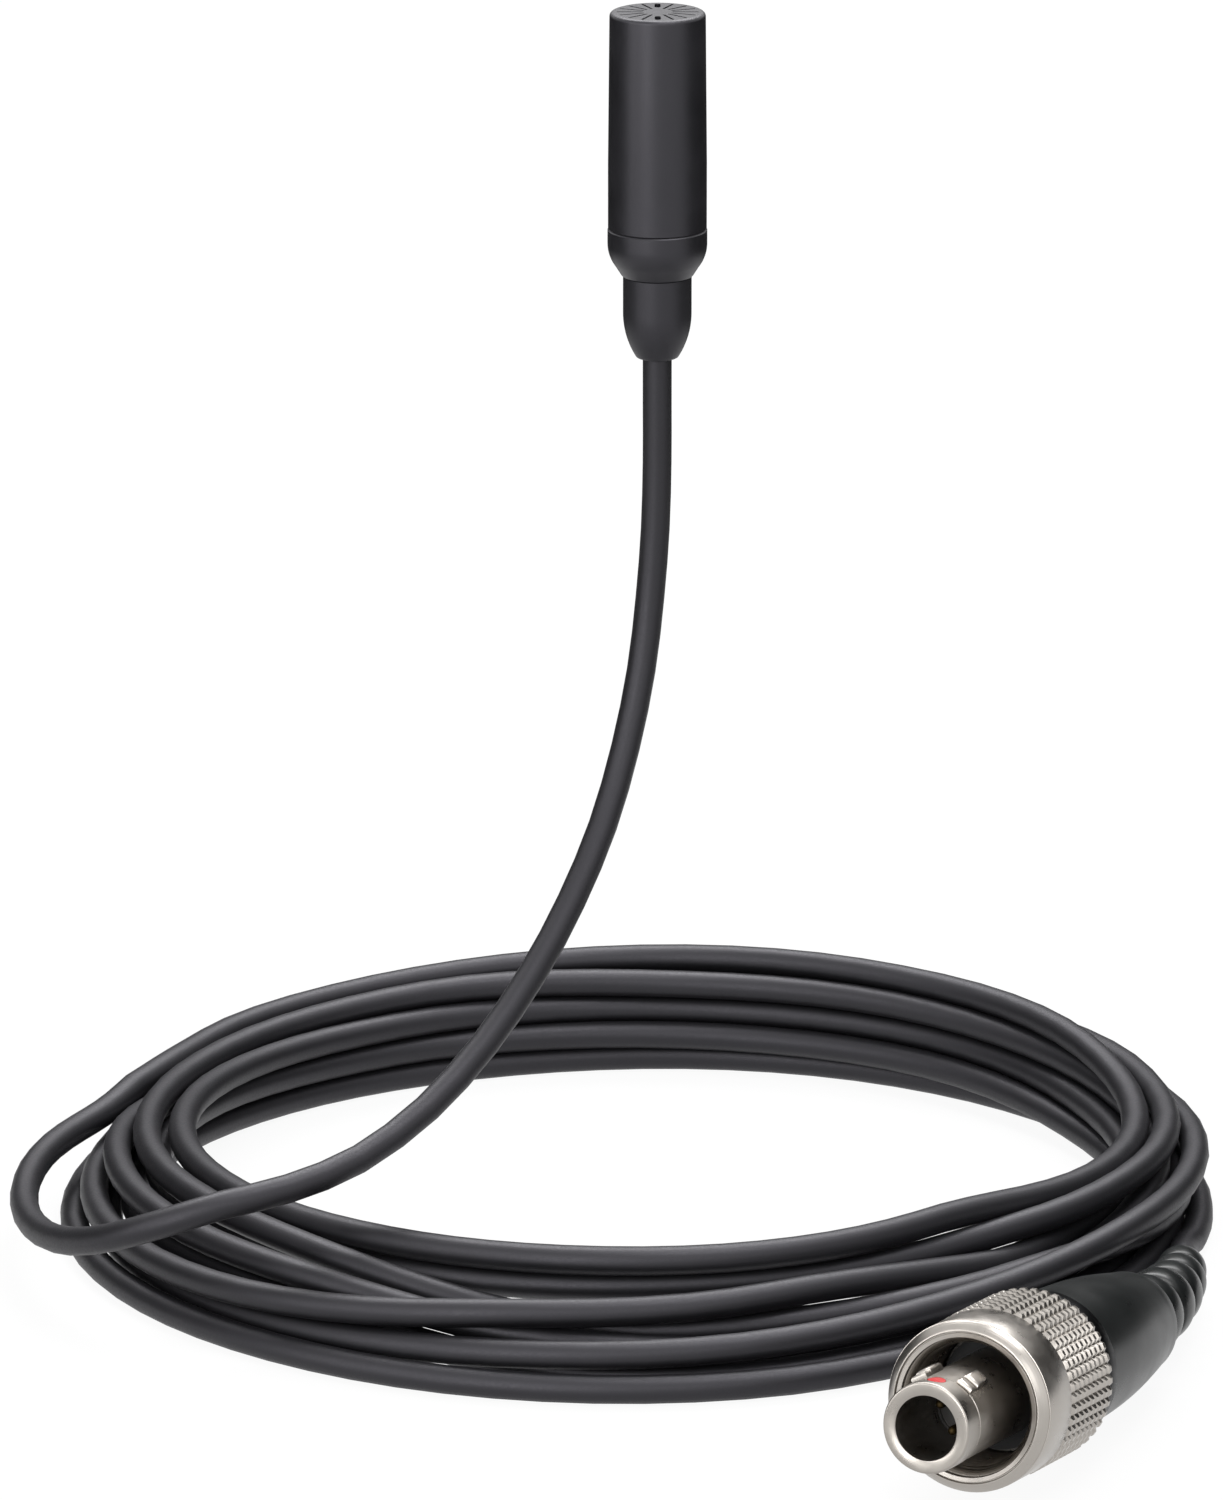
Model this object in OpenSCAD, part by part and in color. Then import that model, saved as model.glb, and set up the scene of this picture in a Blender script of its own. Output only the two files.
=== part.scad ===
// Sub-miniature lavalier microphone: slim omnidirectional capsule with a
// pull-off grille cap, a thin cord wound in a loose coil, and a miniature
// 3-contact plug with a screw coupling ring.
// Millimetres. Origin at the centre of the neck that a clip grips, +Z out
// through the grille. The cord hangs from the neck to a surface below.

/* [Cap] */
// Radius of the cap's parallel lower stretch
cap_r = 2.8; // [2.75:0.01:3.2]
// Radius of the cap just under its top edge
cap_top_r = 2.7; // [2.65:0.01:3.1]
// Length of the cap from the seam to its top face
cap_len = 12.65; // [12.5:0.05:16]
// Length of the parallel lower stretch
cap_parallel_len = 3.8; // [2:0.1:6]
// Rounding of the top edge
cap_edge_r = 0.25; // [0.1:0.01:0.3]
// Thickness of the perforated top
cap_top_wall = 0.6; // [0.4:0.05:0.8]
// Half the width of each sound port, which is a round-ended slot
port_r = 0.14; // [0.1:0.01:0.2]
// Inner end of each sound port, from the axis
port_r1 = 1.3; // [1.1:0.05:1.6]
// Outer end of each sound port, from the axis
port_r2 = 2.2; // [1.9:0.05:2.3]
// Places round the top for the radial flutes
flute_places = 16; // [8:4:24]
// Width of a flute
flute_w = 0.12; // [0.08:0.01:0.2]
// Depth of a flute
flute_depth = 0.12; // [0.05:0.01:0.25]
// Inner end of a flute, from the axis
flute_r1 = 0.9; // [0.7:0.05:1.2]
// Outer end of a flute, from the axis
flute_r2 = 2.2; // [1.8:0.05:2.35]
// Thickness of the acoustic screen
screen_t = 0.12; // [0.05:0.01:0.2]

/* [Head] */
// Outer radius of the tube that carries the capsule
tube_r = 2.3; // [2.25:0.01:2.32]
// Length of the tube
tube_len = 13.05; // [12.8:0.05:13.3]
// Wall of the tube beside the capsule
tube_wall = 0.24; // [0.2:0.01:0.3]
// Bore radius of the tube below the capsule
tube_low_bore_r = 1.7; // [1.5:0.05:1.8]
// Running clearance of the cap on the tube
cap_clear = 0.06; // [0.03:0.01:0.1]
// Height of the seal groove above the seam
seal_height = 1.7; // [1:0.1:4]
// Width of the seal
seal_w = 0.4; // [0.3:0.05:0.6]
// Depth of the seal groove
seal_groove = 0.1; // [0.05:0.01:0.12]
// Radius of the rear housing at the seam
rear_r = 2.78; // [2.72:0.01:3.1]
// Length of the rear housing
rear_len = 2.55; // [2.4:0.05:3]
// Length of its parallel rim
rear_rim_len = 0.75; // [0.5:0.05:0.9]
// Radius of its shoulder arc
rear_arc_r = 1.3; // [1:0.05:1.6]
// Radius where it meets the strain relief
rear_end_r = 2.03; // [1.95:0.01:2.1]
// Depth of the socket that the tube stands in
tube_socket = 1.4; // [1:0.05:1.6]

/* [Strain relief] */
// Radius of the clip neck
neck_r = 1.92; // [1.8:0.01:1.95]
// Length of the clip neck
neck_len = 2.2; // [1.8:0.1:3]
// Length of the tapered tail
relief_len = 2.6; // [2.2:0.05:4]
// Radius of the tail's end
relief_end_r = 1.13; // [1.05:0.01:1.3]
// Wall of the crimp ferrule
ferrule_wall = 0.4; // [0.25:0.01:0.45]
// How far the ferrule reaches into the neck
ferrule_in = 1.45; // [1:0.05:1.6]

/* [Capsule] */
// Wall of the capsule can
can_wall = 0.15; // [0.1:0.01:0.2]
// Clearance of the can in the tube, and of the stack in the can
fit_gap = 0.02; // [0.01:0.01:0.03]
// Radius of the can's front opening
can_mouth_r = 1.45; // [1.2:0.05:1.5]
// Thickness of the can's front lip
can_lip = 0.15; // [0.1:0.01:0.25]
// Inner radius of the rings in the stack
ring_bore_r = 1.55; // [1.5:0.05:1.65]
// Thickness of a diaphragm's clamping ring
ring_t = 0.38; // [0.3:0.02:0.45]
// Thickness of a diaphragm, drawn thick enough to mesh
film_t = 0.05; // [0.04:0.01:0.06]
// Thickness of a spacer
spacer_t = 0.1; // [0.06:0.01:0.15]
// Thickness of the backplate
backplate_t = 0.6; // [0.4:0.05:0.8]
// Holes in the backplate
backplate_holes = 8; // [4:1:10]
// Radius of a backplate hole
backplate_hole_r = 0.12; // [0.08:0.01:0.18]
// Circle that the backplate holes stand on
backplate_hole_circle = 0.9; // [0.6:0.05:1.2]
// Height of the insulator and of the contact sleeve
insulator_h = 1.1; // [0.8:0.05:1.3]
// Wall of the contact sleeve
sleeve_wall = 0.22; // [0.15:0.01:0.3]
// Thickness of the circuit board
board_t = 0.3; // [0.2:0.05:0.4]
// Size of the transistor package
fet_size = [1.3, 0.9, 0.45];
// Height of the gasket under the can
gasket_h = 0.3; // [0.2:0.05:0.4]
// Radius of an insulated wire in the head
head_wire_r = 0.2; // [0.12:0.01:0.2]

/* [Cord] */
// Diameter of the cord
cord_d = 1.65; // [1.5:0.01:1.66]
// Clearance round the cord in the pieces that hold it
cord_clear = 0.015; // [0.01:0.005:0.05]
// Height of the neck's centre above the surface that the cord lies on
neck_height = 55.5; // [55.5:0.1:60]
// Centreline radius of the innermost turn
coil_in_r = 26.2; // [20:0.1:27]
// Centreline radius of the outermost turn
coil_out_r = 31.6; // [31.3:0.1:34]
// Height from one layer of turns to the next
layer_pitch = 2.1; // [2.1:0.01:2.4]

/* [Plug] */
// Radius of the nose
nose_r = 2.5; // [2.45:0.01:2.6]
// How far the nose stands out of the coupling ring
nose_len = 5.4; // [4.9:0.1:6.3]
// Length of the nose's full-radius front
nose_front_len = 1.6; // [1.4:0.1:2]
// Step down behind the nose's front
nose_step = 0.04; // [0.02:0.01:0.06]
// Bore radius of the nose
nose_bore_r = 1.75; // [1.6:0.01:1.9]
// Radius of the rear of the shell
shell_rear_r = 2.9; // [2.8:0.01:3.1]
// Bore radius of the shell's rear
shell_rear_bore_r = 2.3; // [2.1:0.01:2.4]
// Thickness of the shell's flange
flange_t = 1.1; // [0.8:0.05:1.5]
// Length of the shell behind its flange
shell_rear_len = 4; // [3.5:0.1:4.5]
// Width of a guide key
key_w = 0.95; // [0.7:0.05:1.1]
// Length of a guide key's main block
key_len = 1.5; // [1:0.05:1.6]
// Length of the low tooth in front of it
key_tooth_len = 0.6; // [0.4:0.05:0.8]
// Height of the key above the nose
key_h = 0.4; // [0.3:0.05:0.5]
// Angle of each key from the index dot
key_angle = 31; // [28:1:60]
// Radius of the index dot
dot_r = 0.5; // [0.3:0.05:0.6]
// Depth of the index dot's pocket
dot_depth = 0.15; // [0.1:0.01:0.2]
// How far the contact insert's face lies inside the nose
insert_recess = 5.5; // [5:0.1:5.8]
// Radius of a contact pin
pin_r = 0.25; // [0.2:0.01:0.3]
// Length of pin that stands out of the insert
pin_reach = 2; // [1.5:0.1:2.8]
// Circle that the three pins stand on
pin_circle = 0.9; // [0.8:0.05:1]
// Radius of a solder cup
cup_r = 0.38; // [0.3:0.01:0.4]
// Length of a solder cup
cup_len = 1.8; // [1:0.1:2]
// Radius of an insulated wire in the plug
plug_wire_r = 0.18; // [0.12:0.01:0.2]

/* [Coupling ring] */
// Radius of the knurled band
knurl_r = 4.8; // [4.7:0.01:5.2]
// Radius of the plain collar
collar_r = 4.75; // [4.6:0.01:4.8]
// Length of the ring
ring_len = 9.4; // [9.2:0.1:9.9]
// Length of the plain collar
collar_len = 3.5; // [2.7:0.1:4.1]
// Width of the groove between collar and knurl
ring_groove_w = 0.2; // [0.1:0.05:0.4]
// Depth of that groove
ring_groove_d = 0.12; // [0.05:0.01:0.2]
// Chamfer of the ring's outer edges
ring_chamfer = 0.3; // [0.1:0.05:0.4]
// Bore radius that takes the receptacle's thread
thread_bore_r = 3.55; // [3.5:0.01:3.7]
// Depth of that bore
thread_depth = 6.3; // [6.2:0.1:6.5]
// Thickness of the inward lip behind the bore
lip_t = 1.2; // [0.8:0.05:1.3]
// Running clearance of the ring on the shell
ring_clear = 0.08; // [0.04:0.01:0.1]
// End play of the ring between its two stops
ring_play = 0.2; // [0.1:0.01:0.25]
// Radius of the recess in the ring's rear
ring_recess_r = 3.9; // [3.8:0.01:4]

/* [Plug rear] */
// Outer radius of the inner body
body_r = 3.3; // [3.2:0.01:3.4]
// Length of the inner body
body_len = 7; // [6.5:0.1:7.5]
// Bore radius of the inner body behind the shell
body_bore_r = 2.4; // [2.35:0.01:2.5]
// Length of the cable collet
collet_len = 3.2; // [2.5:0.1:3.5]
// Width of the collet's slots
collet_slot = 0.3; // [0.2:0.05:0.4]
// Radius of the back nut's rim
nut_rim_r = 4.3; // [4.1:0.01:4.5]
// Length of the back nut's rim
nut_rim_len = 1.3; // [1:0.1:1.6]
// Gap from the coupling ring to the back nut
nut_gap = 0.35; // [0.3:0.05:0.6]
// Outer radius of the back nut's sleeve
nut_sleeve_r = 3.62; // [3.55:0.01:3.7]
// Thickness of the back nut's end wall
nut_end_t = 1.6; // [1:0.1:2]
// Radius of the hole in that end wall
nut_hole_r = 1.2; // [1:0.05:1.4]
// Radius of the boot's front
boot_r = 4; // [3.9:0.01:4.1]
// Radius of the boot's end
boot_end_r = 2.95; // [2.7:0.01:3.1]
// Length of the boot
boot_len = 12.15; // [11:0.05:14]
// Bend radius of the flexible tail
tail_bend_r = 40; // [36:0.5:44]
// Angle that the tail bends through
tail_bend = 21; // [18:1:24]
// Radius of the tail's first rib
tail_rib_r1 = 2.35; // [2.1:0.05:2.5]
// Radius of the tail's last rib
tail_rib_r2 = 1.45; // [1.3:0.05:1.8]
// Ribs on the tail
tail_ribs = 5; // [3:1:7]
// Depth of the grooves between the ribs
tail_groove = 0.35; // [0.2:0.05:0.4]
// Clearance round the cord in boot and tail
boot_cord_clear = 0.075; // [0.05:0.005:0.1]

/* [Hidden] */

$fn = 96;
slack = 0.01;             // overshoot of a cutting tool past the face it cuts
cord_r = cord_d / 2;
arc_steps = 10;           // straight pieces in a turned arc

// Heights along the head
neck_top = neck_len / 2;
neck_bottom = -neck_len / 2;
relief_end = neck_bottom - relief_len;
seam = neck_top + rear_len;
seam_gap = 0.04;
cap_top = seam + cap_len;
cap_bore_r = tube_r + cap_clear;
cap_ceiling = cap_top - cap_top_wall;
tube_floor = seam - tube_socket;
tube_top = tube_floor + tube_len;
seal_z = seam + seal_height;
seal_play = 0.02;         // seal to the cap's bore
ferrule_r = cord_r + cord_clear + ferrule_wall;
ferrule_bottom = neck_top - ferrule_in;
ferrule_top = tube_floor - 0.1;
jacket_end = tube_floor + 0.1;

// Capsule stack, from the lip of the can downwards
can_r = tube_r - tube_wall - fit_gap;
stack_r = can_r - can_wall - fit_gap;
can_top = tube_top - 0.15;
stack_top = can_top - can_lip - fit_gap;
front_film_top = stack_top - ring_t;
front_spacer_top = front_film_top - film_t;
backplate_top = front_spacer_top - spacer_t;
rear_spacer_top = backplate_top - backplate_t;
rear_film_top = rear_spacer_top - spacer_t;
rear_ring_top = rear_film_top - film_t;
insulator_top = rear_ring_top - ring_t;
board_top = insulator_top - insulator_h;
board_bottom = board_top - board_t;
can_bottom = board_bottom - 0.5;
tube_shoulder = can_bottom - gasket_h;
fet_y = -0.35;
head_wire_at = [0.35, 0.45];

// Surface that the cord lies on
floor_z = -neck_height;

// Coil: four layers of turns, the top one first
coil_centre = [-0.8, 0];
coil_start = 172;         // bearing of the first turn's start
coil_turns = 8.5;
coil_layers = 4;
coil_rings = 24;          // rings in one turn
coil_sides = 6;
coil_steps = coil_turns * coil_rings;
layer_turns = coil_turns / coil_layers;
climb_turns = 0.5;
lead_sides = 8;
tail_sides = 24;

// Free stretch from the neck over the coil's front and round its left end
lead_points = [
    [0, 0, -3.7], [0, 0, -6.6], [0, 0, -9.8], [-0.1, -0.1, -13.7],
    [-0.4, -0.4, -17.7], [-0.9, -1.2, -21.8], [-1.8, -2.6, -26],
    [-3.1, -4.6, -30.1], [-4.9, -7, -33.9], [-7.1, -9.7, -37.4],
    [-9.8, -12.6, -40.7], [-13, -15.7, -43.5], [-16.8, -18.9, -45.5],
    [-20.7, -21.5, -46.4], [-24.4, -23, -46.9], [-27.7, -23.2, -47.9],
    [-30.6, -21.7, -49.2], [-33, -18.7, -50.5], [-34.8, -14.6, -51.3],
    [-35.8, -9.8, -51.6], [-36, -5, -51.3], [-35.2, -0.8, -50.2],
    [-33.8, 1.8, -49.1]
];

// Free stretch from the plug's tail to the coil's last turn
tail_points = [[30.05, -10.2, -54.05], [30.2, -8.2, -54.4]];

// Plug frame: its origin is the centre of the coupling ring's front face, and
// the plug lies on the knurled band's rear edge
plug_yaw = 25;
plug_droop = 5.5;
plug_rise = knurl_r * cos(plug_droop) + (ring_len - ring_chamfer) * sin(plug_droop);
plug_at = [16.41, -49.13, floor_z + plug_rise];

// Stations along the plug, forward of its origin
nose_step_z = nose_len - nose_front_len;
key_front = nose_step_z - 0.1;
key_gap = 0.15;
guide_r = nose_r - nose_step;
insert_front = nose_len - insert_recess;
flange_r = thread_bore_r - ring_clear;
lip_front = -thread_depth;
lip_rear = lip_front - lip_t;
flange_rear = lip_front + ring_play;
flange_front = flange_rear + flange_t;
shell_rear = flange_rear - shell_rear_len;
lip_bore_r = shell_rear_r + ring_clear;
insert_rear = -3.7;
insert_flange_rear = -5.1;
cup_rear = insert_flange_rear - cup_len;
seal_front = flange_front + 0.6;
body_front = lip_rear - ring_play;
body_rear = body_front - body_len;
plug_jacket_end = -12.7;
nut_front = -ring_len - nut_gap;
rim_rear = nut_front - nut_rim_len;
nut_wall_front = body_rear - 0.1;
nut_rear = nut_wall_front - nut_end_t;
boot_front = rim_rear;
boot_rear = boot_front - boot_len;
collet_rear = nut_wall_front;
collet_front = collet_rear + collet_len;
boot_bore_r = cord_r + boot_cord_clear;
dot_z = nose_len - 1;
dot_bearing = 88;         // round the nose from its right-hand side

// ---------------------------------------------------------------- helpers

module ring(r_out, r_in, z0, z1) {
    translate([0, 0, z0]) difference() {
        cylinder(r = r_out, h = z1 - z0);
        translate([0, 0, -slack]) cylinder(r = r_in, h = z1 - z0 + 2 * slack);
    }
}

module bar(r, z0, z1) {
    translate([0, 0, z0]) cylinder(r = r, h = z1 - z0);
}

module in_plug() {
    translate(plug_at) rotate([90 - plug_droop, 0, -plug_yaw]) children();
}

// Points of an arc of radius r about c, from angle a to angle b
function arc(c, r, a, b) =
    [for (i = [0 : arc_steps]) let (t = a + (b - a) * i / arc_steps) c + r * [cos(t), sin(t)]];

function unit(v) = v / norm(v);

// ---------------------------------------------------------- cord geometry

// Centreline of the coil after t turns: in, out, in and out again
function coil_radius(t) =
    let (u = t / layer_turns, k = floor(u), f = u - k)
    coil_out_r - (coil_out_r - coil_in_r) * (k % 2 == 0 ? f : 1 - f);
function climbed(t) = min(1, max(0, t / climb_turns + 0.5));
function layers_down(t) =
    climbed(t - layer_turns) + climbed(t - 2 * layer_turns) + climbed(t - 3 * layer_turns);
function coil_height(t) = floor_z + cord_r + layer_pitch * (coil_layers - 1 - layers_down(t));
function coil_point(t) =
    let (a = coil_start - 360 * t, r = coil_radius(t))
    [coil_centre.x + r * cos(a), coil_centre.y + r * sin(a), coil_height(t)];
function coil_heading(t) = let (a = coil_start - 360 * t) [sin(a), -cos(a), 0];

// Straight ends, one cord diameter long, square to what they meet
coil_entry = coil_point(0) - cord_d * coil_heading(0);
coil_exit = coil_point(coil_turns) + cord_d * coil_heading(coil_turns);
coil_path = concat(
    [coil_entry],
    [for (i = [0 : coil_steps]) coil_point(i / coil_rings)],
    [coil_exit]
);

// Rounded course through hand-set points, with one point added in each gap
function between(a, b, c, d) = (9 * (b + c) - a - d) / 16;
function doubled(p) = let (n = len(p) - 1)
    [for (i = [0 : n - 1], half = [0, 1])
        half == 0 ? p[i] : between(p[max(i - 1, 0)], p[i], p[i + 1], p[min(i + 2, n)])];

lead_route = concat([[0, 0, jacket_end]], lead_points, [coil_entry]);
lead_path = concat(
    [lead_route[0]],
    doubled([for (i = [1 : len(lead_route) - 1]) lead_route[i]]),
    [coil_entry]
);

// Bent tail of the plug in the plug's own frame, angle a round the bend
function bend_point(a) = [tail_bend_r * (cos(a) - 1), 0, boot_rear - tail_bend_r * sin(a)];
function turn_x(p, a) = [p.x, p.y * cos(a) - p.z * sin(a), p.y * sin(a) + p.z * cos(a)];
function turn_z(p, a) = [p.x * cos(a) - p.y * sin(a), p.x * sin(a) + p.y * cos(a), p.z];
function from_plug(p) = plug_at + turn_z(turn_x(p, 90 - plug_droop), -plug_yaw);
bend_rings = 6;
tail_out_len = 1.65;      // straight run out of the tail
tail_straight = bend_point(tail_bend) + tail_out_len * [-sin(tail_bend), 0, -cos(tail_bend)];
tail_path = concat(
    [from_plug([0, 0, plug_jacket_end]), from_plug([0, 0, (plug_jacket_end + boot_rear) / 2])],
    [for (i = [0 : bend_rings]) from_plug(bend_point(tail_bend * i / bend_rings))],
    [from_plug(tail_straight)],
    tail_points,
    [coil_exit]
);

function path_length(p, i = 1, sum = 0) =
    i >= len(p) ? sum : path_length(p, i + 1, sum + norm(p[i] - p[i - 1]));

// Direction of a path at each point, square to the given first and last ones
function heading(p, i, first, last) =
    i == 0 ? unit(first)
    : i == len(p) - 1 ? unit(last)
    : unit(unit(p[i + 1] - p[i]) + unit(p[i] - p[i - 1]));
function carried(side, dir) = unit(side - (side * dir) * dir);
function sides(p, first, last, i = 0, out = []) =
    i >= len(p) ? out
    : let (d = heading(p, i, first, last), s = carried(i == 0 ? [1, 0.1, 0.2] : out[i - 1], d))
        sides(p, first, last, i + 1, concat(out, [s]));

// Closed tube of n sides round a path, with a radius for each of its points;
// its flat ends face first and last
module tube_along(p, radii, n, first, last) {
    side = sides(p, first, last);
    last_ring = len(p) - 1;
    rings = [for (i = [0 : last_ring], k = [0 : n - 1])
        let (d = heading(p, i, first, last), up = cross(d, side[i]), a = 360 * k / n)
        p[i] + radii[i] * (cos(a) * side[i] + sin(a) * up)];
    walls = [for (i = [0 : last_ring - 1], k = [0 : n - 1], half = [0, 1])
        let (a = i * n + k, b = i * n + (k + 1) % n)
        half == 0 ? [a, a + n, b + n] : [a, b + n, b]];
    start_cap = [for (k = [1 : n - 2]) [0, k, k + 1]];
    end_cap = [for (k = [1 : n - 2], e = [last_ring * n]) [e, e + k + 1, e + k]];
    polyhedron(points = rings, faces = concat(walls, start_cap, end_cap));
}

module cord_along(p, n, first, last) {
    tube_along(p, [for (q = p) cord_r], n, first, last);
}

// Least gap from the coil to itself, between points half a turn or more apart
coil_gap = min([for (i = [0 : len(coil_path) - 1], j = [i + coil_rings / 2 : len(coil_path) - 1])
    norm(coil_path[i] - coil_path[j])]) - cord_d;
cord_length = path_length(lead_path) + path_length(coil_path) + path_length(tail_path);
echo(str("coil least gap to itself, mm: ", coil_gap));
echo(str("cord length, mm: ", cord_length));

// ------------------------------------------------------------------- head

module protective_cap() {
    color("#26262a") difference() {
        rotate_extrude() polygon(concat(
            [[0, seam + seam_gap], [cap_r, seam + seam_gap], [cap_r, seam + cap_parallel_len]],
            arc([cap_top_r - cap_edge_r, cap_top - cap_edge_r], cap_edge_r, 0, 90),
            [[0, cap_top]]
        ));
        bar(cap_bore_r, seam - slack, cap_ceiling);
        for (side = [-1, 1])
            hull() for (y = [port_r1 + port_r, port_r2 - port_r])
                translate([0, side * y, 0]) bar(port_r, cap_ceiling - slack, cap_top + slack);
        for (i = [0 : flute_places - 1])
            if (i % (flute_places / 2) != flute_places / 4)
                rotate([0, 0, 360 * i / flute_places])
                    translate([flute_r1, -flute_w / 2, cap_top - flute_depth])
                        cube([flute_r2 - flute_r1, flute_w, flute_depth + slack]);
    }
}

module cap_screen() {
    color("#4a4a4e") bar(cap_bore_r - fit_gap, cap_ceiling - screen_t, cap_ceiling);
}

module housing_tube() {
    color("#b9b6ae") difference() {
        bar(tube_r, tube_floor, tube_top);
        bar(tube_low_bore_r, tube_floor - slack, tube_shoulder + slack);
        bar(tube_r - tube_wall, tube_shoulder, tube_top + slack);
        ring(tube_r + slack, tube_r - seal_groove, seal_z, seal_z + seal_w + 2 * fit_gap);
    }
}

module cap_seal() {
    color("#141414")
        ring(cap_bore_r - seal_play, tube_r - seal_groove + slack,
             seal_z + fit_gap, seal_z + fit_gap + seal_w);
}

module rear_housing() {
    rim = seam - rear_rim_len;
    taper = 28;
    arc_end = [rear_r - rear_arc_r * (1 - cos(taper)), rim - rear_arc_r * sin(taper)];
    color("#242428") difference() {
        rotate_extrude() polygon(concat(
            [[0, seam], [rear_r, seam]],
            arc([rear_r - rear_arc_r, rim], rear_arc_r, 0, -taper),
            [[rear_end_r, neck_top], [0, neck_top]]
        ));
        bar(tube_r + fit_gap, tube_floor, seam + slack);
        bar(ferrule_r + fit_gap, neck_top - slack, tube_floor + slack);
    }
}

module strain_relief() {
    drop = neck_r - relief_end_r;
    arc_r = (relief_len * relief_len + drop * drop) / (2 * drop);
    sweep = asin(relief_len / arc_r);
    color("#232327") difference() {
        rotate_extrude() polygon(concat(
            [[0, neck_top], [neck_r, neck_top]],
            arc([neck_r - arc_r, neck_bottom], arc_r, 0, -sweep),
            [[0, relief_end]]
        ));
        bar(cord_r + cord_clear, relief_end - slack, neck_top);
        bar(ferrule_r + fit_gap, ferrule_bottom, neck_top + slack);
    }
}

module crimp_ferrule() {
    color("#c9a24d") ring(ferrule_r, cord_r + cord_clear, ferrule_bottom, ferrule_top);
}

module capsule_can() {
    color("#c8c6c0") difference() {
        bar(can_r, can_bottom, can_top);
        bar(can_r - can_wall, can_bottom - slack, can_top - can_lip);
        bar(can_mouth_r, can_top - can_lip - slack, can_top + slack);
    }
}

module front_diaphragm_ring() {
    color("#d0b060") ring(stack_r, ring_bore_r, front_film_top, stack_top);
}

module front_diaphragm() {
    color("#d9c98a") bar(stack_r, front_spacer_top, front_film_top);
}

module front_spacer() {
    color("#b07a3a") ring(stack_r, ring_bore_r, backplate_top, front_spacer_top);
}

module backplate() {
    color("#b8953e") difference() {
        bar(stack_r, rear_spacer_top, backplate_top);
        for (i = [0 : backplate_holes - 1])
            rotate([0, 0, 360 * i / backplate_holes]) translate([backplate_hole_circle, 0, 0])
                bar(backplate_hole_r, rear_spacer_top - slack, backplate_top + slack);
    }
}

module rear_spacer() {
    color("#b07a3a") ring(stack_r, ring_bore_r, rear_film_top, rear_spacer_top);
}

module rear_diaphragm() {
    color("#d9c98a") bar(stack_r, rear_ring_top, rear_film_top);
}

module rear_diaphragm_ring() {
    color("#d0b060") ring(stack_r, ring_bore_r, insulator_top, rear_ring_top);
}

module insulator_ring() {
    color("#e4e0d4") ring(stack_r, ring_bore_r, board_top, insulator_top);
}

module contact_sleeve() {
    color("#c9a24d")
        ring(ring_bore_r - fit_gap, ring_bore_r - fit_gap - sleeve_wall, board_top, insulator_top);
}

module circuit_board() {
    color("#2f6b3c") bar(stack_r, board_bottom, board_top);
}

module fet() {
    color("#1c1c1c") translate([-fet_size.x / 2, fet_y - fet_size.y / 2, board_bottom - fet_size.z])
        cube(fet_size);
}

module capsule_gasket() {
    color("#161616") ring(can_r, tube_low_bore_r, tube_shoulder, can_bottom);
}

module head_wires() {
    color("#a8342c") for (side = [-1, 1])
        translate([side * head_wire_at.x, head_wire_at.y, 0])
            bar(head_wire_r, jacket_end, board_bottom);
}

// ------------------------------------------------------------------- cord

module cord_lead() {
    color("#1d1d20") cord_along(lead_path, lead_sides, [0, 0, -1], coil_heading(0));
}

module cord_coil() {
    color("#1d1d20")
        cord_along(coil_path, coil_sides, coil_heading(0), coil_heading(coil_turns));
}

module cord_tail() {
    color("#1d1d20")
        cord_along(tail_path, lead_sides, tail_path[1] - tail_path[0], -coil_heading(coil_turns));
}

// ------------------------------------------------------------------- plug

module plug_shell() {
    color("#b4afa6") in_plug() difference() {
        union() {
            bar(nose_r, nose_step_z, nose_len);
            bar(guide_r, flange_front - slack, nose_step_z + slack);
            bar(flange_r, flange_rear, flange_front);
            bar(shell_rear_r, shell_rear, flange_rear + slack);
        }
        bar(nose_bore_r, insert_rear - slack, nose_len + slack);
        bar(shell_rear_bore_r, shell_rear - slack, insert_rear);
        index_pocket(dot_r + fit_gap, dot_depth);
    }
}

module index_pocket(r, depth) {
    rotate([0, 0, dot_bearing]) translate([nose_r - depth, 0, dot_z])
        rotate([0, 90, 0]) cylinder(r = r, h = depth + 0.1);
}

module guide_keys() {
    color("#c4bfb6") in_plug() for (side = [-1, 1]) rotate([0, 0, dot_bearing + side * key_angle]) {
        key_block(key_front - key_tooth_len, key_tooth_len, key_h * 0.7);
        key_block(key_front - key_tooth_len - key_gap - key_len, key_len, key_h);
    }
}

module key_block(z0, length, height) {
    difference() {
        translate([0, -key_w / 2, z0]) cube([guide_r + height, key_w, length]);
        bar(guide_r, z0 - slack, z0 + length + slack);
    }
}

module index_dot() {
    color("#c8202c") in_plug() intersection() {
        index_pocket(dot_r, dot_depth);
        bar(nose_r, nose_step_z, nose_len);
    }
}

module contact_insert() {
    color("#1b1b1d") in_plug() difference() {
        union() {
            bar(nose_bore_r - fit_gap, insert_rear - slack, insert_front);
            bar(shell_rear_bore_r - fit_gap, insert_flange_rear, insert_rear);
        }
        at_pins() bar(pin_r + slack, insert_flange_rear - slack, insert_front + slack);
    }
}

module at_pins() {
    for (i = [0 : 2]) rotate([0, 0, 120 * i + 30]) translate([pin_circle, 0, 0]) children();
}

module contact_pins() {
    color("#d2ab55") in_plug() at_pins() {
        bar(pin_r, insert_flange_rear - slack, insert_front + pin_reach);
        bar(cup_r, cup_rear, insert_flange_rear);
    }
}

module plug_wires() {
    start = cup_rear - 0.05;
    inset = 0.45;         // how far each wire leans towards the axis
    run = start - plug_jacket_end - 0.05;
    color("#a8342c") in_plug() at_pins()
        translate([0, 0, start]) rotate([0, 180 + atan(inset / run), 0])
            cylinder(r = plug_wire_r, h = norm([inset, run]));
}

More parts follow.
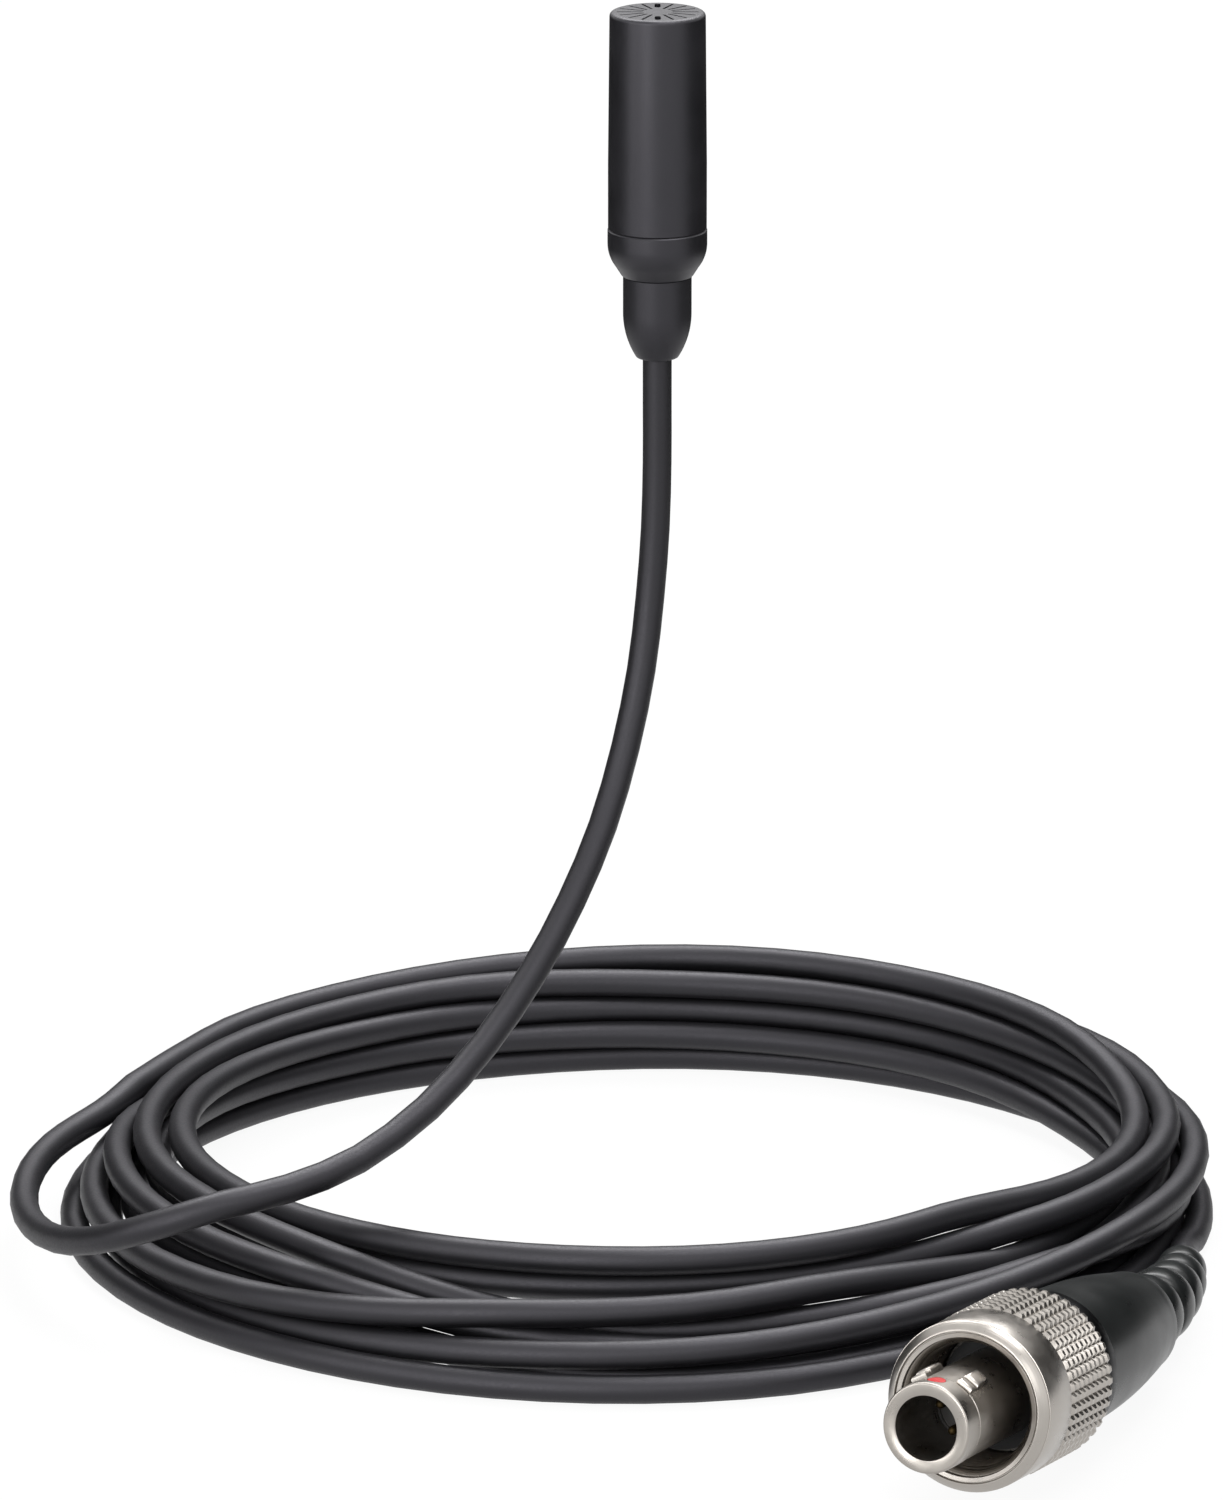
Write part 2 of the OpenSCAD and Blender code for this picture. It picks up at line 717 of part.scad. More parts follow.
module nose_seal() {
    color("#181818") in_plug() ring(flange_r - 0.25, guide_r + slack, flange_front, seal_front);
}

module coupling_ring() {
    groove_front = -collar_len;
    groove_rear = -collar_len - ring_groove_w;
    mouth = 0.2;
    color("#b9b4ab") in_plug() rotate_extrude() polygon([
        [thread_bore_r + mouth, 0], [collar_r - ring_chamfer, 0], [collar_r, -ring_chamfer],
        [collar_r, groove_front], [collar_r - ring_groove_d, groove_front],
        [collar_r - ring_groove_d, groove_rear], [knurl_r, groove_rear],
        [knurl_r, -ring_len + ring_chamfer], [knurl_r - ring_chamfer, -ring_len],
        [ring_recess_r, -ring_len], [ring_recess_r, lip_rear], [lip_bore_r, lip_rear],
        [lip_bore_r, lip_front], [thread_bore_r, lip_front], [thread_bore_r, -mouth]
    ]);
}

module plug_body() {
    color("#a9a49b") in_plug() difference() {
        bar(body_r, body_rear, body_front);
        bar(shell_rear_r + slack, shell_rear - slack, body_front + slack);
        bar(body_bore_r, body_rear - slack, shell_rear);
    }
}

module collet() {
    color("#c9a24d") in_plug() difference() {
        bar(body_bore_r - fit_gap, collet_rear + 0.1, collet_front);
        bar(cord_r + cord_clear, collet_rear, collet_front + slack);
        for (i = [0 : 2]) rotate([0, 0, 120 * i])
            translate([cord_r, -collet_slot / 2, collet_rear])
                cube([body_bore_r, collet_slot, collet_len / 2]);
    }
}

module back_nut() {
    color("#17181a") in_plug() difference() {
        union() {
            bar(nut_rim_r, rim_rear, nut_front);
            bar(nut_sleeve_r, nut_rear, rim_rear + slack);
        }
        bar(body_r + slack, nut_wall_front, nut_front + slack);
        bar(nut_hole_r, nut_rear - slack, nut_wall_front + slack);
    }
}

module boot() {
    swell = 0.3;          // how much the boot's side bulges past a straight taper
    edge = 0.3;
    side_points = [for (i = [0 : arc_steps]) let (t = i / arc_steps)
        [boot_r + (boot_end_r - boot_r) * t + swell * sin(180 * t),
         boot_front - (boot_len - edge) * t]];
    color("#2a2b2c") in_plug() difference() {
        rotate_extrude() polygon(concat(
            [[0, boot_front]], side_points, [[boot_end_r - edge, boot_rear], [0, boot_rear]]
        ));
        bar(nut_sleeve_r + slack, nut_rear, boot_front + slack);
        bar(boot_bore_r, boot_rear - slack, nut_rear + slack);
    }
}

module bend_relief() {
    stations = concat(
        [for (i = [0 : tail_ribs - 1], edge = [0, 1, 2, 3])
            [bend_angle(i, edge), rib_radius(i, edge)]]
    );
    into = [0, 0, -1];
    out_of = tail_straight - bend_point(tail_bend);
    bore_path = concat(
        [bend_point(0) - slack * into],
        [for (i = [0 : bend_rings]) bend_point(tail_bend * i / bend_rings)],
        [bend_point(tail_bend) + slack * unit(out_of)]
    );
    color("#262728") in_plug() difference() {
        tube_along([for (q = stations) bend_point(q[0])], [for (q = stations) q[1]],
                   tail_sides, into, out_of);
        tube_along(bore_path, [for (q = bore_path) boot_bore_r], tail_sides, into, out_of);
    }
}

// Edges of rib i and of the groove before it: groove in, groove out, rib in, rib out
function bend_angle(i, edge) =
    let (pitch = tail_bend / tail_ribs, flank = 0.15, groove = 1.2)
    pitch * i + [0, groove - flank, groove, pitch - (i == tail_ribs - 1 ? 0 : flank)][edge];
function rib_radius(i, edge) =
    let (rib_r = tail_rib_r1 + (tail_rib_r2 - tail_rib_r1) * i / (tail_ribs - 1))
    edge < 2 ? rib_r - tail_groove : rib_r;

protective_cap();
cap_screen();
housing_tube();
cap_seal();
rear_housing();
strain_relief();
crimp_ferrule();
capsule_can();
front_diaphragm_ring();
front_diaphragm();
front_spacer();
backplate();
rear_spacer();
rear_diaphragm();
rear_diaphragm_ring();
insulator_ring();
contact_sleeve();
circuit_board();
fet();
capsule_gasket();
head_wires();
cord_lead();
cord_coil();
cord_tail();
plug_shell();
guide_keys();
index_dot();
contact_insert();
contact_pins();
plug_wires();
nose_seal();
coupling_ring();
plug_body();
collet();
back_nut();
boot();
bend_relief();
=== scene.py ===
import math

import bmesh
import bpy
import numpy as np
from mathutils import Matrix, Vector


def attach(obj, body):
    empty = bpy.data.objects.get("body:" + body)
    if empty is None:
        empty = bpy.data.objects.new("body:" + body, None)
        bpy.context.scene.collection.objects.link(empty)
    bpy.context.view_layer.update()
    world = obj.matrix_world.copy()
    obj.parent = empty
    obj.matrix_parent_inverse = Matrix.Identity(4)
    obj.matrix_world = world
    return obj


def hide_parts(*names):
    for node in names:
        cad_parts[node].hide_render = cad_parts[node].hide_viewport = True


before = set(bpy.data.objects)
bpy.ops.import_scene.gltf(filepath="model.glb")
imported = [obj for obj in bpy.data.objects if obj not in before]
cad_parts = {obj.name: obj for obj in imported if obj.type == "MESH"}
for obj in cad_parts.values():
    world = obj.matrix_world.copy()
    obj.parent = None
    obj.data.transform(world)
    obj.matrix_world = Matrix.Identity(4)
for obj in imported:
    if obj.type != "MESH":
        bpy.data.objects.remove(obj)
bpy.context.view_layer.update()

MM = 0.001

# ------------------------------------------------------------------ camera
# A long lens, a little above the microphone and 16 degrees down, so that the
# hanging capsule, the coil on the table and the plug in front all show.

camera_down = 15.642        # degrees below level
camera_data = bpy.data.cameras.new("camera")
camera_data.lens = 268.32
camera_data.sensor_width = 36
camera_data.clip_start = 0.01
camera = bpy.data.objects.new("camera", camera_data)
camera.location = (-0.0026, -0.61794, 0.146116)
camera.rotation_euler = (math.radians(90 - camera_down), 0, 0)
bpy.context.scene.collection.objects.link(camera)
bpy.context.scene.camera = camera

# -------------------------------------------------------------------- cord
# Shielded two-conductor microphone cord in a satin black elastomer jacket
# 1.65 mm thick. It leaves the head downwards, swings round the left end and
# lies on the table in a loose, hand-wound coil of eight and a half turns.

FLOOR = -55.5               # height of the table below the neck, mm
cord_d = 1.65
coil_centre = (-0.8, 0.0)
turn_places = 8             # given places in one turn of the coil
turn_points = 72            # points in one turn of the coil

# Free stretch from the head to the coil, mm
lead_in_head = [(0, 0, 2.35), (0, 0, -1.2)]
lead_points = [
    (0, 0, -3.7), (0, 0, -6.6), (0, 0, -9.8), (-0.1, -0.1, -13.7),
    (-0.4, -0.4, -17.7), (-0.9, -1.2, -21.8), (-1.8, -2.6, -26),
    (-3.1, -4.6, -30.1), (-4.9, -7, -33.9), (-7.1, -9.7, -37.4),
    (-9.8, -12.6, -40.7), (-13, -15.7, -43.5), (-16.8, -18.9, -45.5),
    (-20.7, -21.5, -46.4), (-24.4, -23, -46.9), (-27.7, -23.2, -47.9),
    (-30.6, -21.7, -49.2), (-33, -18.7, -50.5), (-34.8, -14.6, -51.3),
    (-36.0, -10.4, -51.6), (-36.3, -6.2, -51.6), (-36.1, -1.9, -51.5),
    (-35.2, 1.9, -51.3), (-33.6, 5.2, -51.2),
]
joining_points = [(-31.7, 8.3, -51.0), (-29.8, 12.3, -50.9), (-27.2, 16.8, -50.4)]
free_steps, joining_steps = 2, 3    # points laid between two given ones

# Where each turn lies: its distance from the coil's centre and its height
# above the table. The first line of a turn holds left, back left, back and
# back right, the second one right, front right, front and front left. The
# first turn is the topmost.
turns = [
    [None, (32.3, 5.6), (32.2, 5.9), (31.3, 6.1),
     (28.4, 5.2), (24.2, 5.4), (25.8, 6.25), (24.9, 5.5)],
    [(26.6, 5.1), (29.3, 4.2), (30.4, 3.6), (30.4, 3.3),
     (28.4, 2.3), (25.9, 3.6), (28.5, 4.2), (31.6, 3.2)],
    [(31.8, 2.6), (32.0, 2.6), (32.1, 3.4), (32.3, 4.0),
     (32.1, 4.2), (28.8, 3.1), (30.9, 2.45), (30.8, 1.65)],
    [(31.0, 0.9), (31.8, 0.9), (31.9, 1.9), (32.2, 2.4),
     (31.0, 2.6), (27.4, 2.8), (27.7, 2.7), (26.7, 4.8)],
    [(28.7, 5.1), (30.6, 4.9), (30.7, 5.0), (30.5, 4.7),
     (30.0, 3.3), (26.9, 1.6), (29.1, 2.3), (29.3, 4.1)],
    [(30.5, 4.4), (31.5, 3.9), (32.1, 4.8), (32.0, 5.2),
     (30.3, 5.2), (24.6, 4.5), (25.3, 4.6), (25.2, 3.9)],
    [(28.1, 3.3), (29.4, 2.8), (30.3, 2.2), (30.5, 1.9),
     (29.2, 0.9), (28.6, 0.9), (30.4, 0.9), (29.0, 2.9)],
    [(29.5, 1.7), (29.9, 0.9), (30.4, 0.9), (30.6, 0.9),
     (30.8, 0.9), (30.3, 0.9), (32.0, 0.83), (32.3, 0.83)],
    [(33.0, 0.83), (33.2, 0.9), (32.1, 0.83), (32.3, 1.0),
     (32.2, 0.9)],
]

# Free stretch from the coil to the plug's flexible tail, mm
tail_points = [
    (31.1, -2.9, -54.66), (30.6, -5.7, -54.6), (30.2, -8.2, -54.4), (30.05, -10.2, -54.05),
]

# The plug's own frame: +Z runs out of its nose, and its origin is the centre
# of the coupling ring's front face. It lies on the ring's rear edge.
plug_at = Vector((16.41, -49.13, -49.84996))
plug_heading, plug_tilt = -25, 84.5
plug_turn = (Matrix.Rotation(math.radians(plug_heading), 4, "Z")
             @ Matrix.Rotation(math.radians(plug_tilt), 4, "X"))
plug_place = Matrix.Translation(plug_at * MM) @ plug_turn
boot_rear = -23.2
bend_r, bend_angle, bend_steps = 40, 21, 8


def bend_point(angle):
    """Point of the bend relief's middle line, in the plug's own frame."""
    a = math.radians(angle)
    return Vector((bend_r * (math.cos(a) - 1), 0, boot_rear - bend_r * math.sin(a)))


def through(points, per_gap):
    """Rounded course through given points, with per_gap steps between two."""
    p = np.array(points, float)
    out = []
    for i in range(len(p) - 1):
        before = p[i - 1] if i else 2 * p[0] - p[1]
        after = p[i + 2] if i + 2 < len(p) else 2 * p[-1] - p[-2]
        for k in range(per_gap):
            t = k / per_gap
            out.append(0.5 * (2 * p[i] + (p[i + 1] - before) * t
                              + (2 * before - 5 * p[i] + 4 * p[i + 1] - after) * t ** 2
                              + (3 * p[i] - before - 3 * p[i + 1] + after) * t ** 3))
    out.append(p[-1])
    return np.array(out)


spots = [spot for turn in turns for spot in turn]
stations = [(180 - 360 / turn_places * i, *spot) for i, spot in enumerate(spots) if spot]
coil_run = through(stations, turn_points // turn_places)
bearing = np.radians(coil_run[:, 0])
coil_line = np.stack([coil_centre[0] + coil_run[:, 1] * np.cos(bearing),
                      coil_centre[1] + coil_run[:, 1] * np.sin(bearing),
                      FLOOR + coil_run[:, 2]], 1)

tail_in_plug = [Vector((0, 0, z)) for z in (-12.7, -15.7, -18.7, -21.2)]
tail_in_plug += [bend_point(bend_angle * k / bend_steps) for k in range(bend_steps + 1)]
tail_in_plug = [tuple(plug_at + plug_turn.to_3x3() @ p) for p in tail_in_plug]
tail_line = [tail_points[-1], *reversed(tail_in_plug)]

# From the head down, over to the first turn, and from the last turn into the
# plug. The joining stretch meets the coil in the direction of its first points.
lead_line = through([*lead_in_head, *lead_points], free_steps)
coil_start = [tuple(coil_line[0]), tuple(coil_line[8])]
joining = through([*lead_points[-2:], *joining_points, *coil_start], joining_steps)
joining = joining[joining_steps:-joining_steps]
tail_run = through([tuple(coil_line[-1]), *tail_points, *tail_line[1:]], free_steps)
route = np.concatenate([lead_line[:-1], joining[:-1], coil_line[:-1], tail_run])


# How the cord is laid: points held at its two ends, rounds of laying and the
# last ones that only part the turns, the least gap between middle lines, how
# far off a neighbour is looked for and how many points along it begins.
held_first, held_last = 34, 30
lay_rounds, parting_rounds, search_every, pushes_a_round = 320, 25, 8, 2
lay_gap, search_margin, own_points = cord_d * 1.01, 1.6, 6
home_pull, stiffness, longest_push, crowd = 0.03, 0.5, 0.5, 0.34


def settle(line):
    """Lays the cord down: turns that share room push each other apart, the
    table holds them up, and each stretch keeps near where it was laid."""
    p = line.copy()
    n = len(p)
    free = np.ones(n)
    free[:held_first] = 0
    free[-held_last:] = 0
    lowest = FLOOR + cord_d / 2
    apart = np.abs(np.arange(n)[:, None] - np.arange(n)[None, :]) > own_points
    pairs = None
    for step in range(lay_rounds):
        if step % search_every == 0:
            near = (p ** 2).sum(1)[:, None] + (p ** 2).sum(1)[None, :] - 2 * p @ p.T
            pairs = np.argwhere((near < (lay_gap + search_margin) ** 2) & apart)
            pairs = pairs[pairs[:, 0] < pairs[:, 1]]
        if step < lay_rounds - parting_rounds:
            p += free[:, None] * home_pull * (line - p)
            # Stiffness: each point is drawn to the curve of its four neighbours
            bend = np.zeros_like(p)
            bend[2:-2] = (4 * (p[1:-3] + p[3:-1]) - (p[:-4] + p[4:])) / 6 - p[2:-2]
            p += free[:, None] * stiffness * bend
        for push_round in range(pushes_a_round):
            d = p[pairs[:, 1]] - p[pairs[:, 0]]
            far = np.sqrt((d ** 2).sum(1)) + 1e-9
            push = np.clip(lay_gap - far, 0, longest_push)
            hit = push > 0
            move = (d[hit] / far[hit, None]) * push[hit, None] * 0.5
            share = np.zeros_like(p)
            count = np.ones(n)
            np.add.at(share, pairs[hit, 1], move)
            np.add.at(share, pairs[hit, 0], -move)
            np.add.at(count, pairs[hit, 1], crowd)
            np.add.at(count, pairs[hit, 0], crowd)
            p += free[:, None] * share / count[:, None]
            p[:, 2] = np.where(free > 0, np.maximum(p[:, 2], lowest), p[:, 2])
    return p


route = settle(route)

cord_curve = bpy.data.curves.new("cord", "CURVE")
cord_curve.dimensions = "3D"
cord_curve.bevel_depth = cord_d / 2 * MM
cord_curve.bevel_resolution = 5
cord_curve.use_fill_caps = True
spline = cord_curve.splines.new("POLY")
spline.points.add(len(route) - 1)
for point, place in zip(spline.points, route):
    point.co = (*(place * MM), 1)
cord = bpy.data.objects.new("cord", cord_curve)
bpy.context.scene.collection.objects.link(cord)


def linear(code):
    """Linear colour of an sRGB hex value."""
    parts = [int(code[i:i + 2], 16) / 255 for i in (1, 3, 5)]
    return (*[c / 12.92 if c < 0.04045 else ((c + 0.055) / 1.055) ** 2.4 for c in parts], 1)


def add(tree, kind, inputs=None, **settings):
    """Adds a node: inputs are values or the outputs of other nodes."""
    made = tree.nodes.new(kind)
    for key, value in settings.items():
        setattr(made, key, value)
    for key, value in (inputs or {}).items():
        if isinstance(value, bpy.types.NodeSocket):
            tree.links.new(value, made.inputs[key])
        else:
            made.inputs[key].default_value = value
    return made


def new_material(name, **shader):
    """A material with its Principled shader's own sockets set."""
    made = bpy.data.materials.new(name)
    made.use_nodes = True
    tree = made.node_tree
    surface = tree.nodes["Principled BSDF"]
    for key, value in shader.items():
        surface.inputs[key.replace("_", " ")].default_value = value
    where = add(tree, "ShaderNodeTexCoord").outputs["Object"]
    return made, tree, surface, where


def skin(tree, surface, **outputs):
    """Feeds the outputs of nodes into the shader's sockets of these names."""
    for key, output in outputs.items():
        tree.links.new(output, surface.inputs[key.replace("_", " ")])


# Elastomer jacket, extruded: satin black, with faint clouds of shade and a
# fine grain that breaks up its highlights.
cool_sheen = linear("#f7f4ff")
elastomer, tree, surface, where = new_material(
    "elastomer_jacket", Roughness=0.5, IOR=1.5, Specular_IOR_Level=0.52, Specular_Tint=cool_sheen)
flow = add(tree, "ShaderNodeTexNoise", {"Vector": where, "Scale": 1 / (9 * MM), "Detail": 3.0})
grain = add(tree, "ShaderNodeTexNoise", {"Vector": where, "Scale": 1 / (0.12 * MM), "Detail": 4.0})
shade = add(tree, "ShaderNodeMix", {
    "Factor": flow.outputs["Fac"], 6: linear("#0a0a0b"), 7: linear("#101012")}, data_type="RGBA")
gloss = add(tree, "ShaderNodeMapRange", {
    "Value": grain.outputs["Fac"], "From Min": 0.3, "From Max": 0.7, "To Min": 0.44, "To Max": 0.56})
relief = add(tree, "ShaderNodeBump", {
    "Height": grain.outputs["Fac"], "Strength": 0.25, "Distance": 0.012 * MM})
skin(tree, surface, Base_Color=shade.outputs[2], Roughness=gloss.outputs["Result"],
     Normal=relief.outputs["Normal"])
cord.data.materials.append(elastomer)

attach(cord, "microphone")
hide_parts("cord_lead", "cord_coil", "cord_tail")

# ----------------------------------------------------------- strain relief
# Moulded rubber sleeve over the crimp: a plain neck that a clip grips and a
# tail that tapers onto the cord. Its skin is matt from the mould.


def rounded(before, here, after, size, steps=3):
    """One corner of a profile, rounded by size as a tool or mould leaves it."""
    before, here, after = Vector(before), Vector(here), Vector(after)
    reach = min(size, (before - here).length * 0.45, (after - here).length * 0.45)
    a = here + (before - here).normalized() * reach
    b = here + (after - here).normalized() * reach
    return [tuple(a.lerp(here, t).lerp(here.lerp(b, t), t)) for t in (k / steps for k in range(steps + 1))]


def link_mesh(name, verts, faces, sharp=32):
    """Mesh object from points in mm, smooth but for edges sharper than given."""
    mesh = bpy.data.meshes.new(name)
    mesh.from_pydata([Vector(v) * MM for v in verts], [], faces)
    work = bmesh.new()
    work.from_mesh(mesh)
    bmesh.ops.delete(work, geom=[v for v in work.verts if not v.link_faces], context="VERTS")
    bmesh.ops.recalc_face_normals(work, faces=work.faces)
    work.to_mesh(mesh)
    work.free()
    mesh.shade_smooth()
    mesh.set_sharp_from_angle(angle=math.radians(sharp))
    made = bpy.data.objects.new(name, mesh)
    bpy.context.scene.collection.objects.link(made)
    return made


def polar(r, angle):
    """Point at a distance and a bearing from the axis."""
    return r * math.cos(angle), r * math.sin(angle)


def revolve(name, profile, around=96, sharp=32):
    """Turned or moulded round piece: a closed profile of (radius, height)."""
    verts, rows = [], []
    for r, z in profile:
        if r < 1e-6:
            rows.append([len(verts)] * around)
            verts.append((0, 0, z))
        else:
            rows.append(list(range(len(verts), len(verts) + around)))
            verts += [(*polar(r, math.tau * k / around), z) for k in range(around)]
    faces = []
    for low, high in zip(rows, rows[1:] + rows[:1]):
        for k in range(around):
            m = (k + 1) % around
            corner = list(dict.fromkeys((low[k], low[m], high[m], high[k])))
            if len(corner) > 2:
                faces.append(corner)
    return link_mesh(name, verts, faces, sharp)


def arc(centre, r, a, b, steps=12):
    """Points of an arc, angles in degrees."""
    turn = [math.radians(a + (b - a) * i / steps) for i in range(steps + 1)]
    return [(centre[0] + r * math.cos(t), centre[1] + r * math.sin(t)) for t in turn]


neck_r, neck_top, neck_bottom = 1.95, 1.1, -1.1
relief_len, relief_end_r, relief_bore, relief_lip = 2.6, 1.18, 0.84, 0.09
relief_end = neck_bottom - relief_len
drop = neck_r - relief_end_r
relief_arc = (relief_len ** 2 + drop ** 2) / (2 * drop)
relief_sweep = math.degrees(math.asin(relief_len / relief_arc))
neck_side = arc((neck_r - relief_arc, neck_bottom), relief_arc, 0, -relief_sweep)
relief_profile = (
    [(relief_bore, neck_top - 0.05), (neck_r - 0.06, neck_top - 0.02), (neck_r, neck_top - 0.08)]
    + neck_side[:-1] + rounded(neck_side[-2], neck_side[-1], (relief_bore, relief_end), relief_lip)
    + [(relief_bore + 0.02, relief_end + 0.04)])
strain_relief = revolve("strain_relief_sleeve", relief_profile)

# Thermoplastic rubber, moulded: soft matt skin with a fine even grain.
moulded_rubber, tree, surface, where = new_material(
    "moulded_rubber", Roughness=0.46, IOR=1.5, Specular_IOR_Level=0.54, Specular_Tint=cool_sheen)
grain = add(tree, "ShaderNodeTexNoise", {"Vector": where, "Scale": 1 / (0.07 * MM), "Detail": 5.0})
cloud = add(tree, "ShaderNodeTexNoise", {"Vector": where, "Scale": 1 / (1.5 * MM), "Detail": 2.0})
shade = add(tree, "ShaderNodeMix", {
    "Factor": cloud.outputs["Fac"], 6: linear("#0c0c0e"), 7: linear("#121215")}, data_type="RGBA")
relief = add(tree, "ShaderNodeBump", {
    "Height": grain.outputs["Fac"], "Strength": 0.35, "Distance": 0.015 * MM})
skin(tree, surface, Base_Color=shade.outputs[2], Normal=relief.outputs["Normal"])
strain_relief.data.materials.append(moulded_rubber)
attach(strain_relief, "microphone")
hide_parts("strain_relief")

# ------------------------------------------------------------ rear housing
# Lower shell of the head, moulded in black plastic: a short rim under the
# cap's seam, a round shoulder and the seat of the strain relief.

seam, seat = 3.8, 2.25
rear_r, rear_rim, shoulder_r, rear_end_r = 2.83, 0.85, 2.14, 2.05
shoulder_sweep, rear_bore, tube_seat_r = -38, 1.27, 2.32
rear_housing = revolve("rear_shell", (
    [(rear_r - 0.07, seam), (rear_r, seam - 0.07)]
    + arc((rear_r - shoulder_r, seam - rear_rim), shoulder_r, 0, shoulder_sweep)
    + [(rear_end_r + 0.02, neck_top + 0.05), (rear_end_r - 0.02, neck_top)]
    + [(rear_bore, neck_top), (rear_bore, seat), (tube_seat_r, seat), (tube_seat_r, seam - 0.05),
       (tube_seat_r + 0.05, seam)]))

# ABS, moulded in a spark-eroded tool: fine matt texture that scatters light
# softly, a little smoother where it is handled.


def moulded_plastic(name, dark, light, rough):
    """Matt moulded plastic: fine grit, and soft clouds in its shade and gloss."""
    made, tree, surface, where = new_material(
        name, Roughness=rough, IOR=1.5, Specular_IOR_Level=0.58, Specular_Tint=cool_sheen)
    grit = add(tree, "ShaderNodeTexNoise", {
        "Vector": where, "Scale": 1 / (0.05 * MM), "Detail": 6.0, "Roughness": 0.6})
    cloud = add(tree, "ShaderNodeTexNoise", {"Vector": where, "Scale": 1 / (2.5 * MM), "Detail": 3.0})
    shade = add(tree, "ShaderNodeMix", {
        "Factor": cloud.outputs["Fac"], 6: linear(dark), 7: linear(light)}, data_type="RGBA")
    gloss = add(tree, "ShaderNodeMapRange", {
        "Value": cloud.outputs["Fac"], "From Min": 0.3, "From Max": 0.7, "To Min": rough - 0.04,
        "To Max": rough + 0.04})
    relief = add(tree, "ShaderNodeBump", {
        "Height": grit.outputs["Fac"], "Strength": 0.4, "Distance": 0.012 * MM})
    skin(tree, surface, Base_Color=shade.outputs[2], Roughness=gloss.outputs["Result"],
         Normal=relief.outputs["Normal"])
    return made


abs_black = ("#0c0c0e", "#121215", 0.42)
housing_abs = moulded_plastic("abs_housing", *abs_black)
rear_housing.data.materials.append(housing_abs)
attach(rear_housing, "microphone")
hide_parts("rear_housing")

# --------------------------------------------------------------------- cap
# Pull-off protective cap in the same matt black plastic. Its top has two
# sound ports and a ring of thin radial flutes, cut into the face.

cap_r, cap_top_r, cap_top, cap_parallel = 2.8, 2.72, 16.3, 3.8
cap_bore, cap_ceiling, edge_r, face_r = 2.36, 15.7, 0.25, 2.3
cap_low = seam + 0.02
cap = revolve("grille_cap", (
    [(cap_bore, cap_low + 0.06), (cap_bore + 0.06, cap_low), (cap_r - 0.04, cap_low),
     (cap_r, cap_low + 0.05), (cap_r, seam + cap_parallel)]
    + arc((cap_top_r - edge_r, cap_top - edge_r), edge_r, 0, 90, 8)
    + [(face_r, cap_top), (0, cap_top), (0, cap_ceiling), (cap_bore, cap_ceiling)]), around=128)


def cut(target, cutter):
    """Cuts one closed mesh out of another and throws the cutter away."""
    step = target.modifiers.new("cut", "BOOLEAN")
    step.operation = "DIFFERENCE"
    step.solver = "EXACT"
    step.object = cutter
    bpy.context.view_layer.update()
    evaluated = target.evaluated_get(bpy.context.evaluated_depsgraph_get())
    shaped = bpy.data.meshes.new_from_object(evaluated)
    target.modifiers.clear()
    old = target.data
    target.data = shaped
    bpy.data.meshes.remove(old)
    bpy.data.objects.remove(cutter)


def turned(x, y, angle):
    """A point turned round the axis."""
    return x * math.cos(angle) - y * math.sin(angle), x * math.sin(angle) + y * math.cos(angle)


def band(low, up, n):
    """Faces between two rings of n points that start at low and at up."""
    return [[low + k, low + (k + 1) % n, up + (k + 1) % n, up + k] for k in range(n)]


def bar_faces(n):
    """Faces of a closed bar with n points round each of its two ends."""
    return [list(range(n))[::-1], list(range(n, 2 * n)), *band(0, n, n)]


def slot_cutter(r1, r2, width, low, high, angle):
    """Upright bar with round ends that lies along a radius."""
    half = width / 2
    outline = arc((r2, 0), half, -90, 90, 6) + arc((r1, 0), half, 90, 270, 6)
    outline = [turned(x, y, angle) for x, y in outline]
    return [(x, y, z) for z in (low, high) for x, y in outline], bar_faces(len(outline))


port_r, port_r1, port_r2, flute_places = 0.17, 1.2, 2.2, 16
flute_w, flute_depth, flute_r1, flute_r2 = 0.14, 0.2, 0.9, 2.25
past = 0.1                  # how far a cutter runs past a face
verts, faces = [], []
for i in range(flute_places):
    angle = math.tau * i / flute_places
    if i % (flute_places // 2) == flute_places // 4:
        bar = slot_cutter(port_r1 + port_r, port_r2 - port_r, 2 * port_r,
                          cap_ceiling - past, cap_top + past, angle)
    else:
        bar = slot_cutter(flute_r1, flute_r2, flute_w, cap_top - flute_depth, cap_top + past, angle)
    faces += [[len(verts) + k for k in face] for face in bar[1]]
    verts += bar[0]
cut(cap, link_mesh("cap_cutter", verts, faces))
cap.data.set_sharp_from_angle(angle=math.radians(32))
cap_abs = moulded_plastic("abs_cap", *abs_black)
cap.data.materials.clear()
cap.data.materials.append(cap_abs)
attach(cap, "cap")
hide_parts("protective_cap")

# ----------------------------------------------------- screen and capsule
# Behind the ports: a woven acoustic screen, then the plated tube with the
# capsule's stack of films, rings, backplate and board. All stay as the CAD
# drew them, each with the finish of its real metal, film or board.

# Stainless steel cloth, plain weave: bright threads, with the meshes between them painted near black as
# painted shade of the openings.
weave = 1 / (0.16 * MM)     # puts the threads 0.05 mm apart
woven_steel, tree, surface, where = new_material("woven_steel", Metallic=1.0, Roughness=0.35)
weave_x = add(tree, "ShaderNodeTexWave", {"Vector": where, "Scale": weave}, bands_direction="X")
weave_y = add(tree, "ShaderNodeTexWave", {"Vector": where, "Scale": weave}, bands_direction="Y")
threads = add(tree, "ShaderNodeMath", {
    0: weave_x.outputs["Fac"], 1: weave_y.outputs["Fac"]}, operation="MAXIMUM")
shade = add(tree, "ShaderNodeMix", {
    "Factor": threads.outputs[0], 6: linear("#101011"), 7: linear("#6c6c70")}, data_type="RGBA")
relief = add(tree, "ShaderNodeBump", {"Height": threads.outputs[0], "Strength": 0.6, "Distance": 0.02 * MM})
